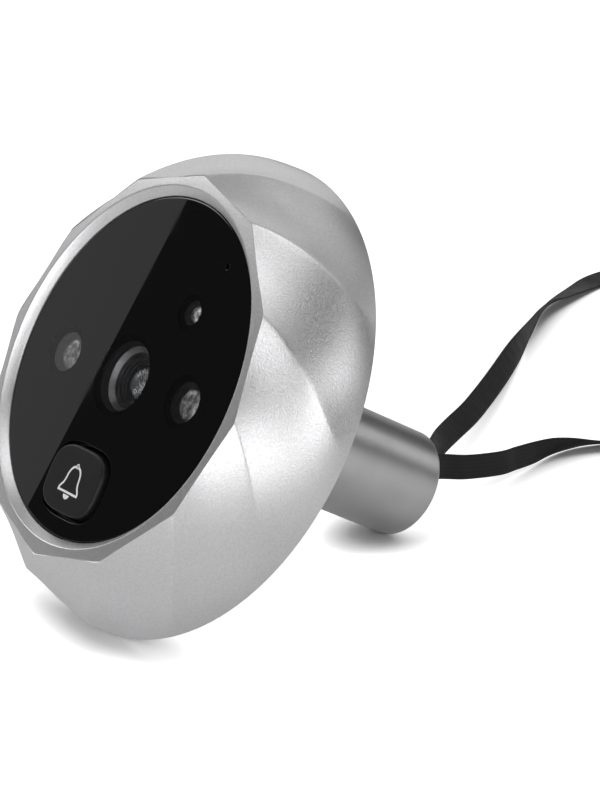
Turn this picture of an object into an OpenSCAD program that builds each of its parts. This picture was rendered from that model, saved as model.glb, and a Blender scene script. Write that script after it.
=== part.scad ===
// Peephole door camera: the outdoor unit of a digital door viewer.
// A swirl-faceted metal bezel holds a black window with a camera, two infrared lamps and a bell button.
// Its barrel goes through the door, and two flat ribbons leave the barrel's mouth.
// The unit lies on a table on its rim and on the end of its barrel, as it does before it is fitted.

/* [Bezel] */
// Diameter of the bezel at the door
bezel_d = 60; // [58:1:70]
// Depth of the bezel from the door to the front ring
bezel_depth = 12.4; // [12:0.2:16]
// Diameter of the front ring across its corners
ring_d = 48.6; // [48:0.2:52]
// Number of swirled facets
facet_count = 12; // [8:1:18]
// Angle that the ridges turn through between the front ring and the rim
swirl = 27; // [0:1:40]
// Angle of the first corner past the top
facet_turn = -2; // [-15:1:15]
// Roundness of the side wall, where 1 is a straight cone
wall_bulge = 2.2; // [1.6:0.1:3]
// How far forward the ridges fade into the round rim
ridge_fade = 1.5; // [0.8:0.1:3]
// Broken edge of the rim at the door
rim_edge = 0.3; // [0.2:0.1:0.6]
// Least wall thickness round the inside
bezel_wall = 2; // [1.6:0.1:2.4]

/* [Window] */
// Diameter of the clear window
window_d = 42.6; // [41.8:0.2:43.2]
// Thickness of the clear window
window_t = 1; // [0.8:0.1:1.4]
// Depth of the window's face behind the front ring
window_recess = 1; // [0.6:0.1:1.4]
// Width of the bevel between the front ring and the window
bevel_w = 0.95; // [0.6:0.05:1.2]
// Width of the ledge that carries the window
seat_w = 1.8; // [1.4:0.1:2]
// Thickness of the ledge that carries the window
ledge_t = 1.45; // [1.2:0.05:1.8]
// Thickness of the black mask behind the window
mask_t = 0.15; // [0.1:0.05:0.2]
// Thickness of the adhesive ring behind the mask
tape_t = 0.2; // [0.1:0.05:0.3]

/* [Camera] */
// Distance of the lens and the lamps below the middle
lens_drop = 1; // [0:0.1:2]
// Diameter of the clear spot in front of the lens
lens_window_d = 8.8; // [8.6:0.1:9.6]
// Diameter of the lens barrel's rim
lens_d = 8.4; // [7.8:0.1:8.4]
// Depth of the lens barrel's rim behind the mask
lens_set_back = 0.9; // [0.7:0.1:1.1]
// Diameter of the front glass of the lens
lens_glass_d = 4.4; // [3.6:0.1:4.6]
// Width of the square lens holder on the board
holder_w = 10; // [9.4:0.2:11]
// Height of the lens holder
holder_h = 1.4; // [1.2:0.1:1.4]
// Width of the image sensor
sensor_w = 6; // [5:0.2:6.4]
// Height of the image sensor
sensor_h = 0.7; // [0.5:0.1:0.7]

/* [Lamps and sensors] */
// Distance between the two infrared lamps
lamp_pitch = 25.6; // [24:0.2:27]
// Diameter of the clear spot in front of a lamp
lamp_window_d = 5; // [4.6:0.1:5.4]
// Diameter of a lamp
lamp_d = 4.8; // [4.2:0.1:5]
// Diameter of the clear spot in front of the light sensor
light_window_d = 3; // [2.6:0.1:3.4]
// Diameter of the light sensor
light_d = 2.6; // [2.2:0.1:2.8]
// Diameter of the microphone capsule
mic_d = 3.8; // [3:0.1:4]
// Height of the microphone capsule
mic_h = 2.2; // [1.8:0.1:2.3]
// Diameter of the sound hole in the window
mic_hole_d = 0.7; // [0.5:0.1:0.9]

/* [Bell button] */
// Width of the bell button
button_w = 10.8; // [9.6:0.1:11.4]
// Height of the bell button
button_h = 8.2; // [7.4:0.1:8.4]
// Distance of the button below the middle
button_drop = 14.6; // [14:0.1:14.8]
// Height of the button's face above the window
button_proud = 0.6; // [0.5:0.05:0.9]
// Gap between the button and the window
button_gap = 0.5; // [0.3:0.05:0.6]
// Travel of the button
button_travel = 0.5; // [0.3:0.05:0.5]
// Squareness of the button's outline, where 2 is an ellipse
button_square = 3.2; // [2.4:0.1:5]
// Width of the key switch behind the button
switch_w = 5.2; // [4.6:0.1:6]
// Height of the key switch's body
switch_h = 1.5; // [1.4:0.05:1.6]
// Diameter of the key switch's plunger
plunger_d = 2.6; // [2:0.1:3]

/* [Chassis and board] */
// Thickness of the chassis flange
chassis_flange_t = 1; // [0.8:0.1:1.2]
// Height of the posts between chassis and board
post_h = 1.6; // [1.6:0.1:2]
// Diameter of a post
post_d = 4; // [3.6:0.1:4.4]
// Distance of the posts from the middle
post_radius = 17; // [16.6:0.1:17.2]
// Diameter of the main board
board_d = 38.4; // [38:0.2:39]
// Thickness of the main board
board_t = 1; // [0.8:0.1:1]
// Distance of the ribbon sockets from the middle
socket_radius = 8.5; // [8:0.1:8.8]
// Height of a ribbon socket
socket_h = 1.1; // [1:0.05:1.2]

/* [Back] */
// Thickness of the rear cover
cover_t = 1.6; // [1.4:0.1:1.8]
// Width of the shoulder that the rear cover sits on
cover_seat_w = 1.5; // [1.2:0.1:1.8]
// Outer diameter of the foam gasket
gasket_d = 41; // [38:0.5:41]
// Inner diameter of the foam gasket
gasket_hole_d = 25; // [24:0.5:30]
// Thickness of the foam gasket
gasket_t = 1; // [0.8:0.1:1.4]
// Depth of the groove that holds the gasket
gasket_sink = 0.4; // [0.2:0.1:0.6]

/* [Barrel] */
// Diameter of the barrel that goes through the door
barrel_d = 14; // [13:0.2:15]
// Length of the barrel behind the door face
barrel_len = 36; // [30:1:60]
// Diameter of the barrel's bore
barrel_bore = 11; // [10:0.2:11.4]
// Broken edge at the barrel's mouth
barrel_edge = 0.3; // [0.2:0.1:0.5]
// Width of the collar round the barrel in the rear cover
barrel_collar = 0.5; // [0.3:0.1:0.8]
// Diameter of the flange that holds the barrel to the cover
barrel_flange_d = 23; // [22.6:0.2:24]
// Thickness of the barrel's flange
barrel_flange_t = 1.4; // [1.2:0.1:1.5]

/* [Ribbons] */
// Width of a flat ribbon
ribbon_w = 3.4; // [2.6:0.1:3.4]
// Thickness of a flat ribbon
ribbon_t = 0.25; // [0.2:0.05:0.3]
// Distance between the two ribbons in the barrel
ribbon_pitch = 1.8; // [1.2:0.1:2.4]
// Bend radius of a ribbon where it turns into the barrel
ribbon_bend = 2.5; // [2:0.1:2.8]
// Length of the connector on a ribbon's end
connector_len = 6; // [4:0.5:8]
// Width of the connector on a ribbon's end
connector_w = 5; // [4.4:0.2:6]
// Height of the connector on a ribbon's end
connector_h = 1.6; // [1.2:0.1:2]

/* [Fasteners] */
// Shaft diameter of the small screws
screw_d = 1.4; // [1.2:0.1:1.6]
// Head diameter of the small screws
screw_head_d = 2.8; // [2.4:0.1:3]
// Head height of the small screws
screw_head_h = 1; // [0.8:0.1:1.1]
// Diameter of the bosses that the cover screws go into
boss_d = 4.6; // [4.2:0.1:5]
// Clearance between pieces that fit together
fit = 0.1; // [0.05:0.05:0.15]
// Clearance round pieces that pass through others
room = 0.3; // [0.2:0.05:0.3]

/* [Hidden] */
$fn = 96;
eps = 0.01;
facet_steps = 8;
side_rings = 14;
swirl_ease = 1.5;
outline_steps = 64;
bezel_r = bezel_d / 2;
barrel_r = barrel_d / 2;
collar_r = barrel_r + barrel_collar;
window_r = window_d / 2;
seat_r = window_r - seat_w;

// Heights along the unit's axis, from the door face at 0 towards the visitor
z_glass = bezel_depth - window_recess;
z_mask = z_glass - window_t;
z_tape = z_mask - mask_t;
z_ledge = z_tape - tape_t;
z_flange = z_ledge - ledge_t;
chassis_gap = 0.15;
z_chassis_front = z_ledge - chassis_gap;
z_chassis_back = z_flange - chassis_flange_t;
z_board_front = z_chassis_back - post_h;
z_board_back = z_board_front - board_t;
z_barrel_flange = cover_t + barrel_flange_t;

// The swirled side: the corner circle's radius, how round the outline is, and how far the ridges have turned
function side_share(z) = max(0, (z - rim_edge) / (bezel_depth - rim_edge));
function corner_r(z) = bezel_r - (bezel_d - ring_d) / 2 * pow(side_share(z), wall_bulge);
function roundness(z) = pow(1 - side_share(z), ridge_fade);
function ridge_angle(z) = -swirl * (1 - pow(side_share(z), swirl_ease));
function flat_share(step) = cos(180 / facet_count) / cos(360 / facet_count * (step / facet_steps - 0.5));
function outline_share(z, step) = roundness(z) + (1 - roundness(z)) * flat_share(step % facet_steps);

cavity_r = corner_r(z_flange) * outline_share(z_flange, facet_steps / 2) - bezel_wall;
cover_r = cavity_r + cover_seat_w;
boss_radius = cavity_r - 1.5;
boss_angles = [90, 210, 330];
chassis_screw_radius = cavity_r - 1.9;
chassis_screw_angles = [30, 150, 270];
post_angles = [25, 155, 205, 335];
barrel_screw_radius = (collar_r + barrel_flange_d / 2) / 2;
barrel_screw_angles = [0, 120, 240];

// Places on the face, seen from the front
light_at = [7.5, 8.8];
mic_at = [10.2, 14.2];
mic_hole_at = [10.8, 15.1];
button_at = [0, -button_drop];
lamp_seat_h = 0.6;
lamp_stand = 0.4;
lamp_gap = 0.25;
lead_d = 0.5;
lead_pitch = 2.5;
lead_tail = 0.4;

// Bell button: a cap, two ears that the window holds back, and a stem on the switch
ear_w = button_w + 2.2;
ear_h = 5;
ear_t = 0.9;
z_ear = z_chassis_front - ear_t;
button_crown = 0.25;
stem_d = 3.2;
plunger_rise = 0.6;
plunger_depth = 0.6;
z_plunger = z_board_front + switch_h + plunger_rise;

// The unit lies on its rim and on the end of its barrel
lean = atan((bezel_r - barrel_r) / (barrel_len - barrel_edge + rim_edge));
lift = bezel_r * cos(lean) - rim_edge * sin(lean);
reach_back = barrel_len * cos(lean) + (barrel_r - barrel_edge) * sin(lean);
reach_front = bezel_depth * cos(lean) + ring_d / 2 * sin(lean);
to_middle = (reach_front - reach_back) / 2;
function lay_way(v) = [v.x, v.y * sin(lean) - v.z * cos(lean), v.y * cos(lean) + v.z * sin(lean)];
function lay(p) = lay_way(p) + [0, to_middle, lift];
mouth = lay([0, 0, -barrel_len]);

// Where the ribbons cross the barrel's mouth, after they drift up and to one side inside it
left_exit = [-2.6, 2.5];
right_exit = [-0.6, 2.4];
drift_len = 25;

// Ribbons past the mouth: steps to the right and back from the mouth, height above the table,
// and the angle that the ribbon leans from upright
exit_step = 2;
left_route = [
    [-3.6, 6, 6.25, -5],
    [-5.6, 9.6, 5.85, -14],
    [-8.8, 13.9, 5.6, -27],
    [-12.4, 19, 5.1, -36],
    [-17, 25.6, 4.4, -40],
    [-23, 33.3, 3.6, -41],
    [-30, 42, 2.8, -40],
    [-37.4, 51, 2.1, -30],
    [-44.6, 60.3, 1.8, 2],
    [-49, 66.2, 1.75, 18],
    [-53, 71.6, 1.5, 44],
    [-55.6, 76.3, 1.1, 72],
    [-58, 82.7, 0.9, 92],
    [-59, 86.5, 0.95, 108],
    [-59.6, 90.5, 0.9, 112],
    [-60, 94.5, 0.75, 104],
    [-60.2, 98, 0.8, 92],
    [-60.2, 101.5, 0.8, 90]
];
right_route = [
    [-1.2, 6, 6.1, 0],
    [-1.6, 9, 5.1, 0],
    [-1.6, 12.5, 4.1, 0],
    [-1.9, 18.3, 3, 0],
    [-2.8, 22, 2.5, 2],
    [-3.6, 25.8, 2.05, 8],
    [-4, 28.6, 1.85, 22],
    [-4.1, 30.6, 1.65, 34],
    [-3.9, 33, 1.35, 47],
    [-3.2, 35.3, 1.1, 60],
    [-1.9, 37.8, 0.85, 68],
    [0.3, 42, 0.5, 82],
    [2.6, 47.5, 0.3, 90],
    [5, 54, 0.3, 90],
    [7.4, 62, 0.3, 90],
    [9.3, 71, 0.3, 90],
    [10.6, 80, 0.3, 90],
    [11.3, 89, 0.4, 90],
    [11.5, 96, 0.7, 90],
    [11.5, 101.5, 0.8, 90]
];
route_steps = 3;
bend_steps = 6;
drift_steps = 8;
socket_w = 3.2;
socket_len = ribbon_w + 1.4;
z_ribbon = z_board_back - socket_h / 2;

// Lays the unit down: from its own frame, with the axis upright, to the table
module lying() {
    translate([0, to_middle, lift]) rotate([90 - lean, 0, 0]) children();
}

// Copies of a piece on a circle
module around(radius, angles) {
    for (a = angles) rotate([0, 0, a]) translate([radius, 0, 0]) children();
}

// A disc between two heights
module disc(r, z0, z1) {
    translate([0, 0, z0]) cylinder(r = r, h = z1 - z0);
}

// A square block between two heights
module block(w, l, z0, z1) {
    translate([-w / 2, -l / 2, z0]) cube([w, l, z1 - z0]);
}

// Outline of the button, a rectangle with bowed sides
function squircle(w, h) = [for (i = [0:outline_steps - 1])
    let (c = cos(360 * i / outline_steps), s = sin(360 * i / outline_steps))
    [w / 2 * sign(c) * pow(abs(c), 2 / button_square), h / 2 * sign(s) * pow(abs(s), 2 / button_square)]];

module squircle_block(w, h, z0, z1) {
    translate([0, 0, z0]) linear_extrude(z1 - z0) polygon(squircle(w, h));
}

// A closed skin over rings of equal numbers of points, each ring turning left as seen from the last ring
module skin(rings) {
    count = len(rings[0]);
    last = len(rings) - 1;
    sides = [for (i = [0:last - 1]) for (j = [0:count - 1])
        let (a = i * count + j, b = i * count + (j + 1) % count)
        each [[a, a + count, b + count], [a, b + count, b]]];
    caps = [for (j = [1:count - 2])
        each [[0, j, j + 1], [last * count, last * count + j + 1, last * count + j]]];
    polyhedron([for (r = rings) each r], concat(sides, caps));
}

// Screw with a cross recess, head on the plane z = 0 and shaft towards +z
module screw(length, sunk) {
    recess_w = 0.35;
    recess_l = 1.7;
    recess_t = 0.5;
    head_z = sunk ? 0 : -screw_head_h;
    difference() {
        union() {
            cylinder(d = screw_d, h = length);
            if (sunk) cylinder(d1 = screw_head_d, d2 = screw_d, h = screw_head_h);
            else disc(screw_head_d / 2, head_z, 0);
        }
        block(recess_l, recess_w, head_z - eps, head_z + recess_t);
        block(recess_w, recess_l, head_z - eps, head_z + recess_t);
    }
}

// Bezel

function bezel_ring(z, shrink) = [for (j = [0:facet_count * facet_steps - 1])
    let (a = 90 + facet_turn + ridge_angle(z) + 360 * j / (facet_count * facet_steps),
         r = corner_r(z) * outline_share(z, j) - shrink)
    [r * cos(a), r * sin(a), z]];

module swirled_side() {
    body = [for (i = [0:side_rings]) bezel_ring(rim_edge + (bezel_depth - rim_edge) * i / side_rings, 0)];
    foot = [for (p = bezel_ring(rim_edge, rim_edge)) [p.x, p.y, 0]];
    skin(concat([foot], body));
}

module bezel() {
    boss_top = z_chassis_back - room;
    pilot_depth = 2;
    color("silver") lying() difference() {
        union() {
            difference() {
                swirled_side();
                disc(cavity_r, cover_t, z_flange);
            }
            intersection() {
                around(boss_radius, boss_angles) disc(boss_d / 2, cover_t, boss_top);
                disc(cavity_r + bezel_wall / 2, 0, boss_top);
            }
        }
        disc(cover_r + fit, -eps, cover_t);
        disc(seat_r, z_flange - eps, bezel_depth + eps);
        disc(window_r + fit, z_ledge, bezel_depth + eps);
        translate([0, 0, z_glass]) cylinder(
            r1 = window_r + fit, r2 = window_r + bevel_w + fit, h = window_recess + eps);
        around(boss_radius, boss_angles) disc(screw_d / 2, cover_t - eps, boss_top - screw_d);
        around(chassis_screw_radius, chassis_screw_angles)
            disc(screw_d / 2, z_flange - eps, z_flange + pilot_depth);
    }
}

// Window

module button_opening(z0, z1) {
    translate(button_at) squircle_block(button_w + 2 * button_gap, button_h + 2 * button_gap, z0, z1);
}

module front_window() {
    color("#20242855") lying() difference() {
        disc(window_r, z_mask, z_glass);
        button_opening(z_mask - eps, z_glass + eps);
        translate(mic_hole_at) disc(mic_hole_d / 2, z_mask - eps, z_glass + eps);
    }
}

module window_mask() {
    color("black") lying() difference() {
        disc(window_r, z_tape, z_mask);
        button_opening(z_tape - eps, z_mask + eps);
        translate([0, -lens_drop]) disc(lens_window_d / 2, z_tape - eps, z_mask + eps);
        for (side = [-1, 1]) translate([side * lamp_pitch / 2, -lens_drop])
            disc(lamp_window_d / 2, z_tape - eps, z_mask + eps);
        translate(light_at) disc(light_window_d / 2, z_tape - eps, z_mask + eps);
        translate(mic_hole_at) disc(mic_hole_d / 2, z_tape - eps, z_mask + eps);
    }
}

module window_tape() {
    color("dimgray") lying() difference() {
        disc(window_r, z_ledge, z_tape);
        disc(seat_r, z_ledge - eps, z_tape + eps);
    }
}

// Chassis behind the window, which carries the board on four posts

module chassis() {
    lens_hole_r = lens_d / 2 + room;
    lamp_hole_r = lamp_d / 2 + fit;
    post_hole_h = z_flange - z_board_front;
    mic_pocket_top = z_board_front + mic_h + room;
    color("#1b1c1e") lying() difference() {
        union() {
            disc(cavity_r - room, z_chassis_back, z_flange);
            disc(seat_r - fit, z_flange, z_chassis_front);
            around(post_radius, post_angles) disc(post_d / 2, z_board_front, z_chassis_back);
        }
        around(boss_radius, boss_angles) disc(boss_d / 2 + room, z_chassis_back - eps, z_flange + eps);
        around(chassis_screw_radius, chassis_screw_angles)
            disc(screw_d / 2 + fit, z_chassis_back - eps, z_flange + eps);
        around(post_radius, post_angles)
            disc(screw_d / 2, z_board_front - eps, z_board_front + post_hole_h);
        translate([0, -lens_drop]) disc(lens_hole_r, z_chassis_back - eps, z_chassis_front + eps);
        for (side = [-1, 1]) translate([side * lamp_pitch / 2, -lens_drop])
            disc(lamp_hole_r, z_chassis_back - eps, z_chassis_front + eps);
        translate(light_at) disc(light_d / 2 + fit, z_chassis_back - eps, z_chassis_front + eps);
        translate(mic_at) disc(mic_d / 2 + fit, z_chassis_back - eps, mic_pocket_top);
        translate(mic_hole_at) disc(mic_hole_d / 2, mic_pocket_top - eps, z_chassis_front + eps);
        translate(button_at) squircle_block(button_w + 2 * room, button_h + 2 * room,
            z_chassis_back - eps, z_chassis_front + eps);
        translate(button_at) block(ear_w + 2 * room, ear_h + 2 * room,
            z_chassis_back - eps, z_chassis_front + eps);
    }
}

module chassis_screws() {
    grip = 1.6;
    color("gainsboro") lying() around(chassis_screw_radius, chassis_screw_angles)
        translate([0, 0, z_chassis_back]) screw(chassis_flange_t + grip, false);
}

// Camera

thread_d = 7;
thread_h = 0.5;
z_lens_rim = z_tape - lens_set_back;
z_holder = z_board_front + holder_h;
lens_bevel = 0.55;
lens_lip = 0.1;
glass_t = 0.6;
glass_dome = 1.2;
z_glass_seat = z_holder - thread_h + glass_t;

module lens_barrel() {
    lip_r = lens_d / 2;
    throat_r = lip_r - 0.8;
    pupil_r = lens_glass_d / 2 - 0.2;
    color("#2c2d30") lying() translate([0, -lens_drop, 0]) rotate_extrude() polygon([
        [pupil_r, z_glass_seat],
        [throat_r, z_lens_rim - lens_bevel],
        [lip_r - lens_lip, z_lens_rim],
        [lip_r, z_lens_rim - lens_lip],
        [lip_r, z_holder],
        [thread_d / 2, z_holder],
        [thread_d / 2, z_holder - thread_h],
        [lens_glass_d / 2, z_holder - thread_h],
        [lens_glass_d / 2, z_glass_seat]
    ]);
}

module lens_glass() {
    pupil_r = lens_glass_d / 2 - 0.2 - fit / 2;
    dome_r = (pow(pupil_r, 2) + pow(glass_dome, 2)) / (2 * glass_dome);
    color("#30404a88") lying() translate([0, -lens_drop, 0]) {
        disc(lens_glass_d / 2, z_glass_seat - glass_t, z_glass_seat);
        intersection() {
            disc(pupil_r, z_glass_seat - eps, z_glass_seat + glass_dome);
            translate([0, 0, z_glass_seat + glass_dome - dome_r]) sphere(r = dome_r);
        }
    }
}

module lens_holder() {
    pocket_top = z_board_front + sensor_h + fit;
    color("#26272a") lying() translate([0, -lens_drop, 0]) difference() {
        block(holder_w, holder_w, z_board_front, z_holder);
        block(sensor_w + 2 * room, sensor_w + 2 * room, z_board_front - eps, pocket_top);
        disc(thread_d / 2, pocket_top - eps, z_holder + eps);
    }
}

module image_sensor() {
    color("#3a4a44") lying() translate([0, -lens_drop, 0])
        block(sensor_w, sensor_w, z_board_front, z_board_front + sensor_h);
}

// Infrared lamps, light sensor and microphone

module domed_lamp(d) {
    seat_d = d + 0.8;
    z_seat = z_board_front + lamp_stand;
    z_dome = z_tape - lamp_gap - d / 2;
    disc(seat_d / 2, z_seat, z_seat + lamp_seat_h);
    disc(d / 2, z_seat, z_dome);
    intersection() {
        translate([0, 0, z_dome]) sphere(d = d);
        disc(d, z_dome - eps, z_dome + d);
    }
    for (side = [-1, 1]) translate([0, side * d / 4, 0])
        disc(lead_d / 2, z_board_back - lead_tail, z_seat + eps);
}

module lamp_left() {
    color("#3a3436") lying() translate([-lamp_pitch / 2, -lens_drop, 0]) domed_lamp(lamp_d);
}

module lamp_right() {
    color("#3a3436") lying() translate([lamp_pitch / 2, -lens_drop, 0]) domed_lamp(lamp_d);
}

module light_sensor() {
    color("#c8c9cb") lying() translate(light_at) domed_lamp(light_d);
}

module microphone() {
    color("silver") lying() translate(mic_at) difference() {
        disc(mic_d / 2, z_board_front, z_board_front + mic_h);
        disc(mic_d / 6, z_board_front + mic_h - lead_d, z_board_front + mic_h + eps);
    }
}

// Bell button, which slides in the window and presses the key switch

module bell_button() {
    z_face = z_glass + button_proud;
    color("#17181a") lying() translate(button_at) {
        squircle_block(button_w, button_h, z_ear, z_face - button_crown);
        squircle_block(button_w - 2 * button_crown, button_h - 2 * button_crown,
            z_face - button_crown - eps, z_face);
        block(ear_w, ear_h, z_ear, z_ear + ear_t);
        disc(stem_d / 2, z_plunger, z_ear + eps);
    }
}

module key_switch() {
    well_bottom = z_board_front + switch_h - plunger_depth - button_travel;
    color("#2a2b2e") lying() translate(button_at) difference() {
        block(switch_w, switch_w, z_board_front, z_board_front + switch_h);
        disc(plunger_d / 2 + fit, well_bottom - fit, z_board_front + switch_h + eps);
    }
}

module switch_plunger() {
    color("#d8d3c4") lying() translate(button_at)
        disc(plunger_d / 2, z_board_front + switch_h - plunger_depth, z_plunger);
}

// Main board with its parts

module main_board() {
    color("#1f5a3a") lying() difference() {
        disc(board_d / 2, z_board_back, z_board_front);
        around(post_radius, post_angles) disc(screw_d / 2 + fit, z_board_back - eps, z_board_front + eps);
        for (at = [[-lamp_pitch / 2, -lens_drop, lamp_d], [lamp_pitch / 2, -lens_drop, lamp_d],
                   [light_at.x, light_at.y, light_d]])
            for (side = [-1, 1]) translate([at.x, at.y + side * at.z / 4, 0])
                disc(lead_d / 2 + fit, z_board_back - eps, z_board_front + eps);
    }
}

module board_chips() {
    chip_h = 0.9;
    large_chip = 6;
    large_chip_up = 9;
    small_chip = 4;
    small_chip_down = 10;
    part_w = 1;
    part_l = 1.8;
    part_up = 5.5;
    part_out = [5.5, 7.5];
    color("#202124") lying() {
        translate([0, large_chip_up]) block(large_chip, large_chip, z_board_back - chip_h, z_board_back);
        translate([0, -small_chip_down]) block(small_chip, small_chip, z_board_back - chip_h, z_board_back);
        for (side = [-1, 1]) for (x = part_out) for (y = [-part_up, part_up]) translate([side * x, y])
            block(part_w, part_l, z_board_back - chip_h / 2, z_board_back);
    }
}

module ribbon_sockets() {
    color("#d9d6cc") lying() for (side = [-1, 1]) translate([side * socket_radius, 0])
        block(socket_w, socket_len, z_board_back - socket_h, z_board_back);
}

module board_screws() {
    grip = 2;
    color("gainsboro") lying() around(post_radius, post_angles)
        translate([0, 0, z_board_back]) screw(board_t + grip, false);
}

// Rear cover, gasket and barrel

module rear_cover() {
    color("#2b2c2e") lying() difference() {
        disc(cover_r, 0, cover_t);
        disc(collar_r + fit, -eps, cover_t + eps);
        difference() {
            disc(gasket_d / 2 + fit, -eps, gasket_sink);
            disc(gasket_hole_d / 2 - fit, -2 * eps, gasket_sink + eps);
        }
        for (spot = [[boss_radius, boss_angles], [barrel_screw_radius, barrel_screw_angles]])
            around(spot[0], spot[1]) {
                disc(screw_d / 2 + fit, -eps, cover_t + eps);
                translate([0, 0, -eps]) cylinder(d1 = screw_head_d + 2 * fit, d2 = screw_d, h = screw_head_h);
            }
    }
}

module cover_screws() {
    grip = 2.6;
    color("gainsboro") lying() around(boss_radius, boss_angles) screw(cover_t + grip, true);
}

module door_gasket() {
    color("#333436") lying() difference() {
        disc(gasket_d / 2, gasket_sink - gasket_t, gasket_sink);
        disc(gasket_hole_d / 2, gasket_sink - gasket_t - eps, gasket_sink + eps);
    }
}

module barrel() {
    bore_r = barrel_bore / 2;
    color("#8f9194") lying() difference() {
        rotate_extrude() polygon([
            [bore_r + barrel_edge, -barrel_len],
            [barrel_r - barrel_edge, -barrel_len],
            [barrel_r, -barrel_len + barrel_edge],
            [barrel_r, 0],
            [collar_r, 0],
            [collar_r, cover_t],
            [barrel_flange_d / 2, cover_t],
            [barrel_flange_d / 2, z_barrel_flange],
            [bore_r, z_barrel_flange],
            [bore_r, -barrel_len + barrel_edge]
        ]);
        around(barrel_screw_radius, barrel_screw_angles)
            disc(screw_d / 2, cover_t - eps, z_barrel_flange + eps);
    }
}

module barrel_screws() {
    color("gainsboro") lying() around(barrel_screw_radius, barrel_screw_angles)
        screw(z_barrel_flange, true);
}

// Flat ribbons: from a socket on the board, down the barrel and out over the table

function along(v) = v / norm(v);
function spot(q) = [q.x, q.y, q.z];
function curve(a, b, c, d, t) = 0.5 * (2 * b + (c - a) * t
    + (2 * a - 5 * b + 4 * c - d) * t * t + (3 * b - a - 3 * c + d) * t * t * t);
function smooth(q) = concat([for (i = [0:len(q) - 2]) for (k = [0:route_steps - 1])
    curve(q[max(i - 1, 0)], q[i], q[i + 1], q[min(i + 2, len(q) - 1)], k / route_steps)], [q[len(q) - 1]]);

// The ribbon's section at a point, from the ways that it runs and that its width points
section_steps = [[1, 0.5], [1, 1], [-1, 1], [-1, 0.5], [-1, -0.5], [-1, -1], [1, -1], [1, -0.5]];
ribbon_section = [for (k = section_steps)
    [k.x * (ribbon_w / 2 - (abs(k.y) == 1 ? ribbon_t / 4 : 0)), k.y * ribbon_t / 2]];
function ribbon_ring(at, way, across) = [for (p = ribbon_section)
    at + p.x * across + p.y * cross(way, across)];

// The width of a ribbon on the table leans from upright about the way that it runs
function leaning(way, turn) = let (right = along([way.y, -way.x, 0]))
    cos(turn) * cross(right, way) + sin(turn) * right;

// The width of a ribbon in the unit keeps upright on the unit
function upright(way) = along([0, 1, 0] - way.y * way);

// Inside: straight from the socket, round a bend and down the barrel, drifting to where it leaves the mouth
function drift_point(side, exit, t) = let (from = [side * ribbon_pitch / 2, 0], by = (exit - from) * t * t)
    [from.x + by.x, from.y + by.y, drift_len * (1 - t) - barrel_len];
function drift_way(side, exit, t) = let (by = 2 * t * (exit - [side * ribbon_pitch / 2, 0]) / drift_len)
    along([by.x, by.y, -1]);

module ribbon_lead(side, exit) {
    bend_x = ribbon_pitch / 2 + ribbon_bend;
    socket_face = socket_radius - socket_w / 2;
    start = ribbon_ring([side * socket_face, 0, z_ribbon], [-side, 0, 0], [0, 1, 0]);
    bend = [for (i = [0:bend_steps]) let (a = 90 * i / bend_steps)
        ribbon_ring([side * (bend_x - ribbon_bend * sin(a)), 0, z_ribbon - ribbon_bend * (1 - cos(a))],
            [-side * cos(a), 0, -sin(a)], [0, 1, 0])];
    drift = [for (i = [0:drift_steps]) let (t = i / drift_steps, way = drift_way(side, exit, t))
        ribbon_ring(drift_point(side, exit, t), way, upright(way))];
    skin(concat([start], bend, drift));
}

module free_ribbon(side, exit, steps) {
    way_out = drift_way(side, exit, 1);
    start = lay(drift_point(side, exit, 1));
    first = concat(start + exit_step * lay_way(way_out), [0]);
    path = smooth(concat([concat(start, [0]), first],
        [for (s = steps) [mouth.x + s.x, mouth.y + s.y, s.z, s[3]]]));
    last = len(path) - 1;
    skin(concat([ribbon_ring(start, lay_way(way_out), lay_way(upright(way_out)))], [for (i = [1:last])
        let (way = i == last ? [0, 1, 0] : along(spot(path[i + 1]) - spot(path[i - 1])))
        ribbon_ring(spot(path[i]), way, leaning(way, path[i][3]))]));
}

module ribbon_lead_left() {
    color("#1c1b1e") lying() ribbon_lead(-1, left_exit);
}

module ribbon_lead_right() {
    color("#1c1b1e") lying() ribbon_lead(1, right_exit);
}

module ribbon_left() {
    color("#1c1b1e") free_ribbon(-1, left_exit, left_route);
}

module ribbon_right() {
    color("#1c1b1e") free_ribbon(1, right_exit, right_route);
}

// Connector: a body with a narrower tongue, on the table where the ribbon ends
module connector(steps) {
    end = steps[len(steps) - 1];
    tongue_len = connector_len / 3;
    tongue_h = connector_h / 2;
    translate([mouth.x + end.x, mouth.y + end.y, end.z - connector_h / 2]) {
        translate([-connector_w / 2, 0, 0]) cube([connector_w, connector_len - tongue_len, connector_h]);
        translate([-ribbon_w / 2, connector_len - tongue_len - eps, (connector_h - tongue_h) / 2])
            cube([ribbon_w, tongue_len + eps, tongue_h]);
    }
}

module connector_left() {
    color("#e6e3da") connector(left_route);
}

module connector_right() {
    color("#e6e3da") connector(right_route);
}

bezel();
front_window();
window_mask();
window_tape();
chassis();
chassis_screws();
lens_barrel();
lens_glass();
lens_holder();
image_sensor();
lamp_left();
lamp_right();
light_sensor();
microphone();
bell_button();
key_switch();
switch_plunger();
main_board();
board_chips();
ribbon_sockets();
board_screws();
rear_cover();
cover_screws();
door_gasket();
barrel();
barrel_screws();
ribbon_lead_left();
ribbon_lead_right();
ribbon_left();
ribbon_right();
connector_left();
connector_right();
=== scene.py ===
import math

import bmesh
import bpy
import numpy as np
from mathutils import Matrix, Vector
from mathutils.geometry import delaunay_2d_cdt


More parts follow.
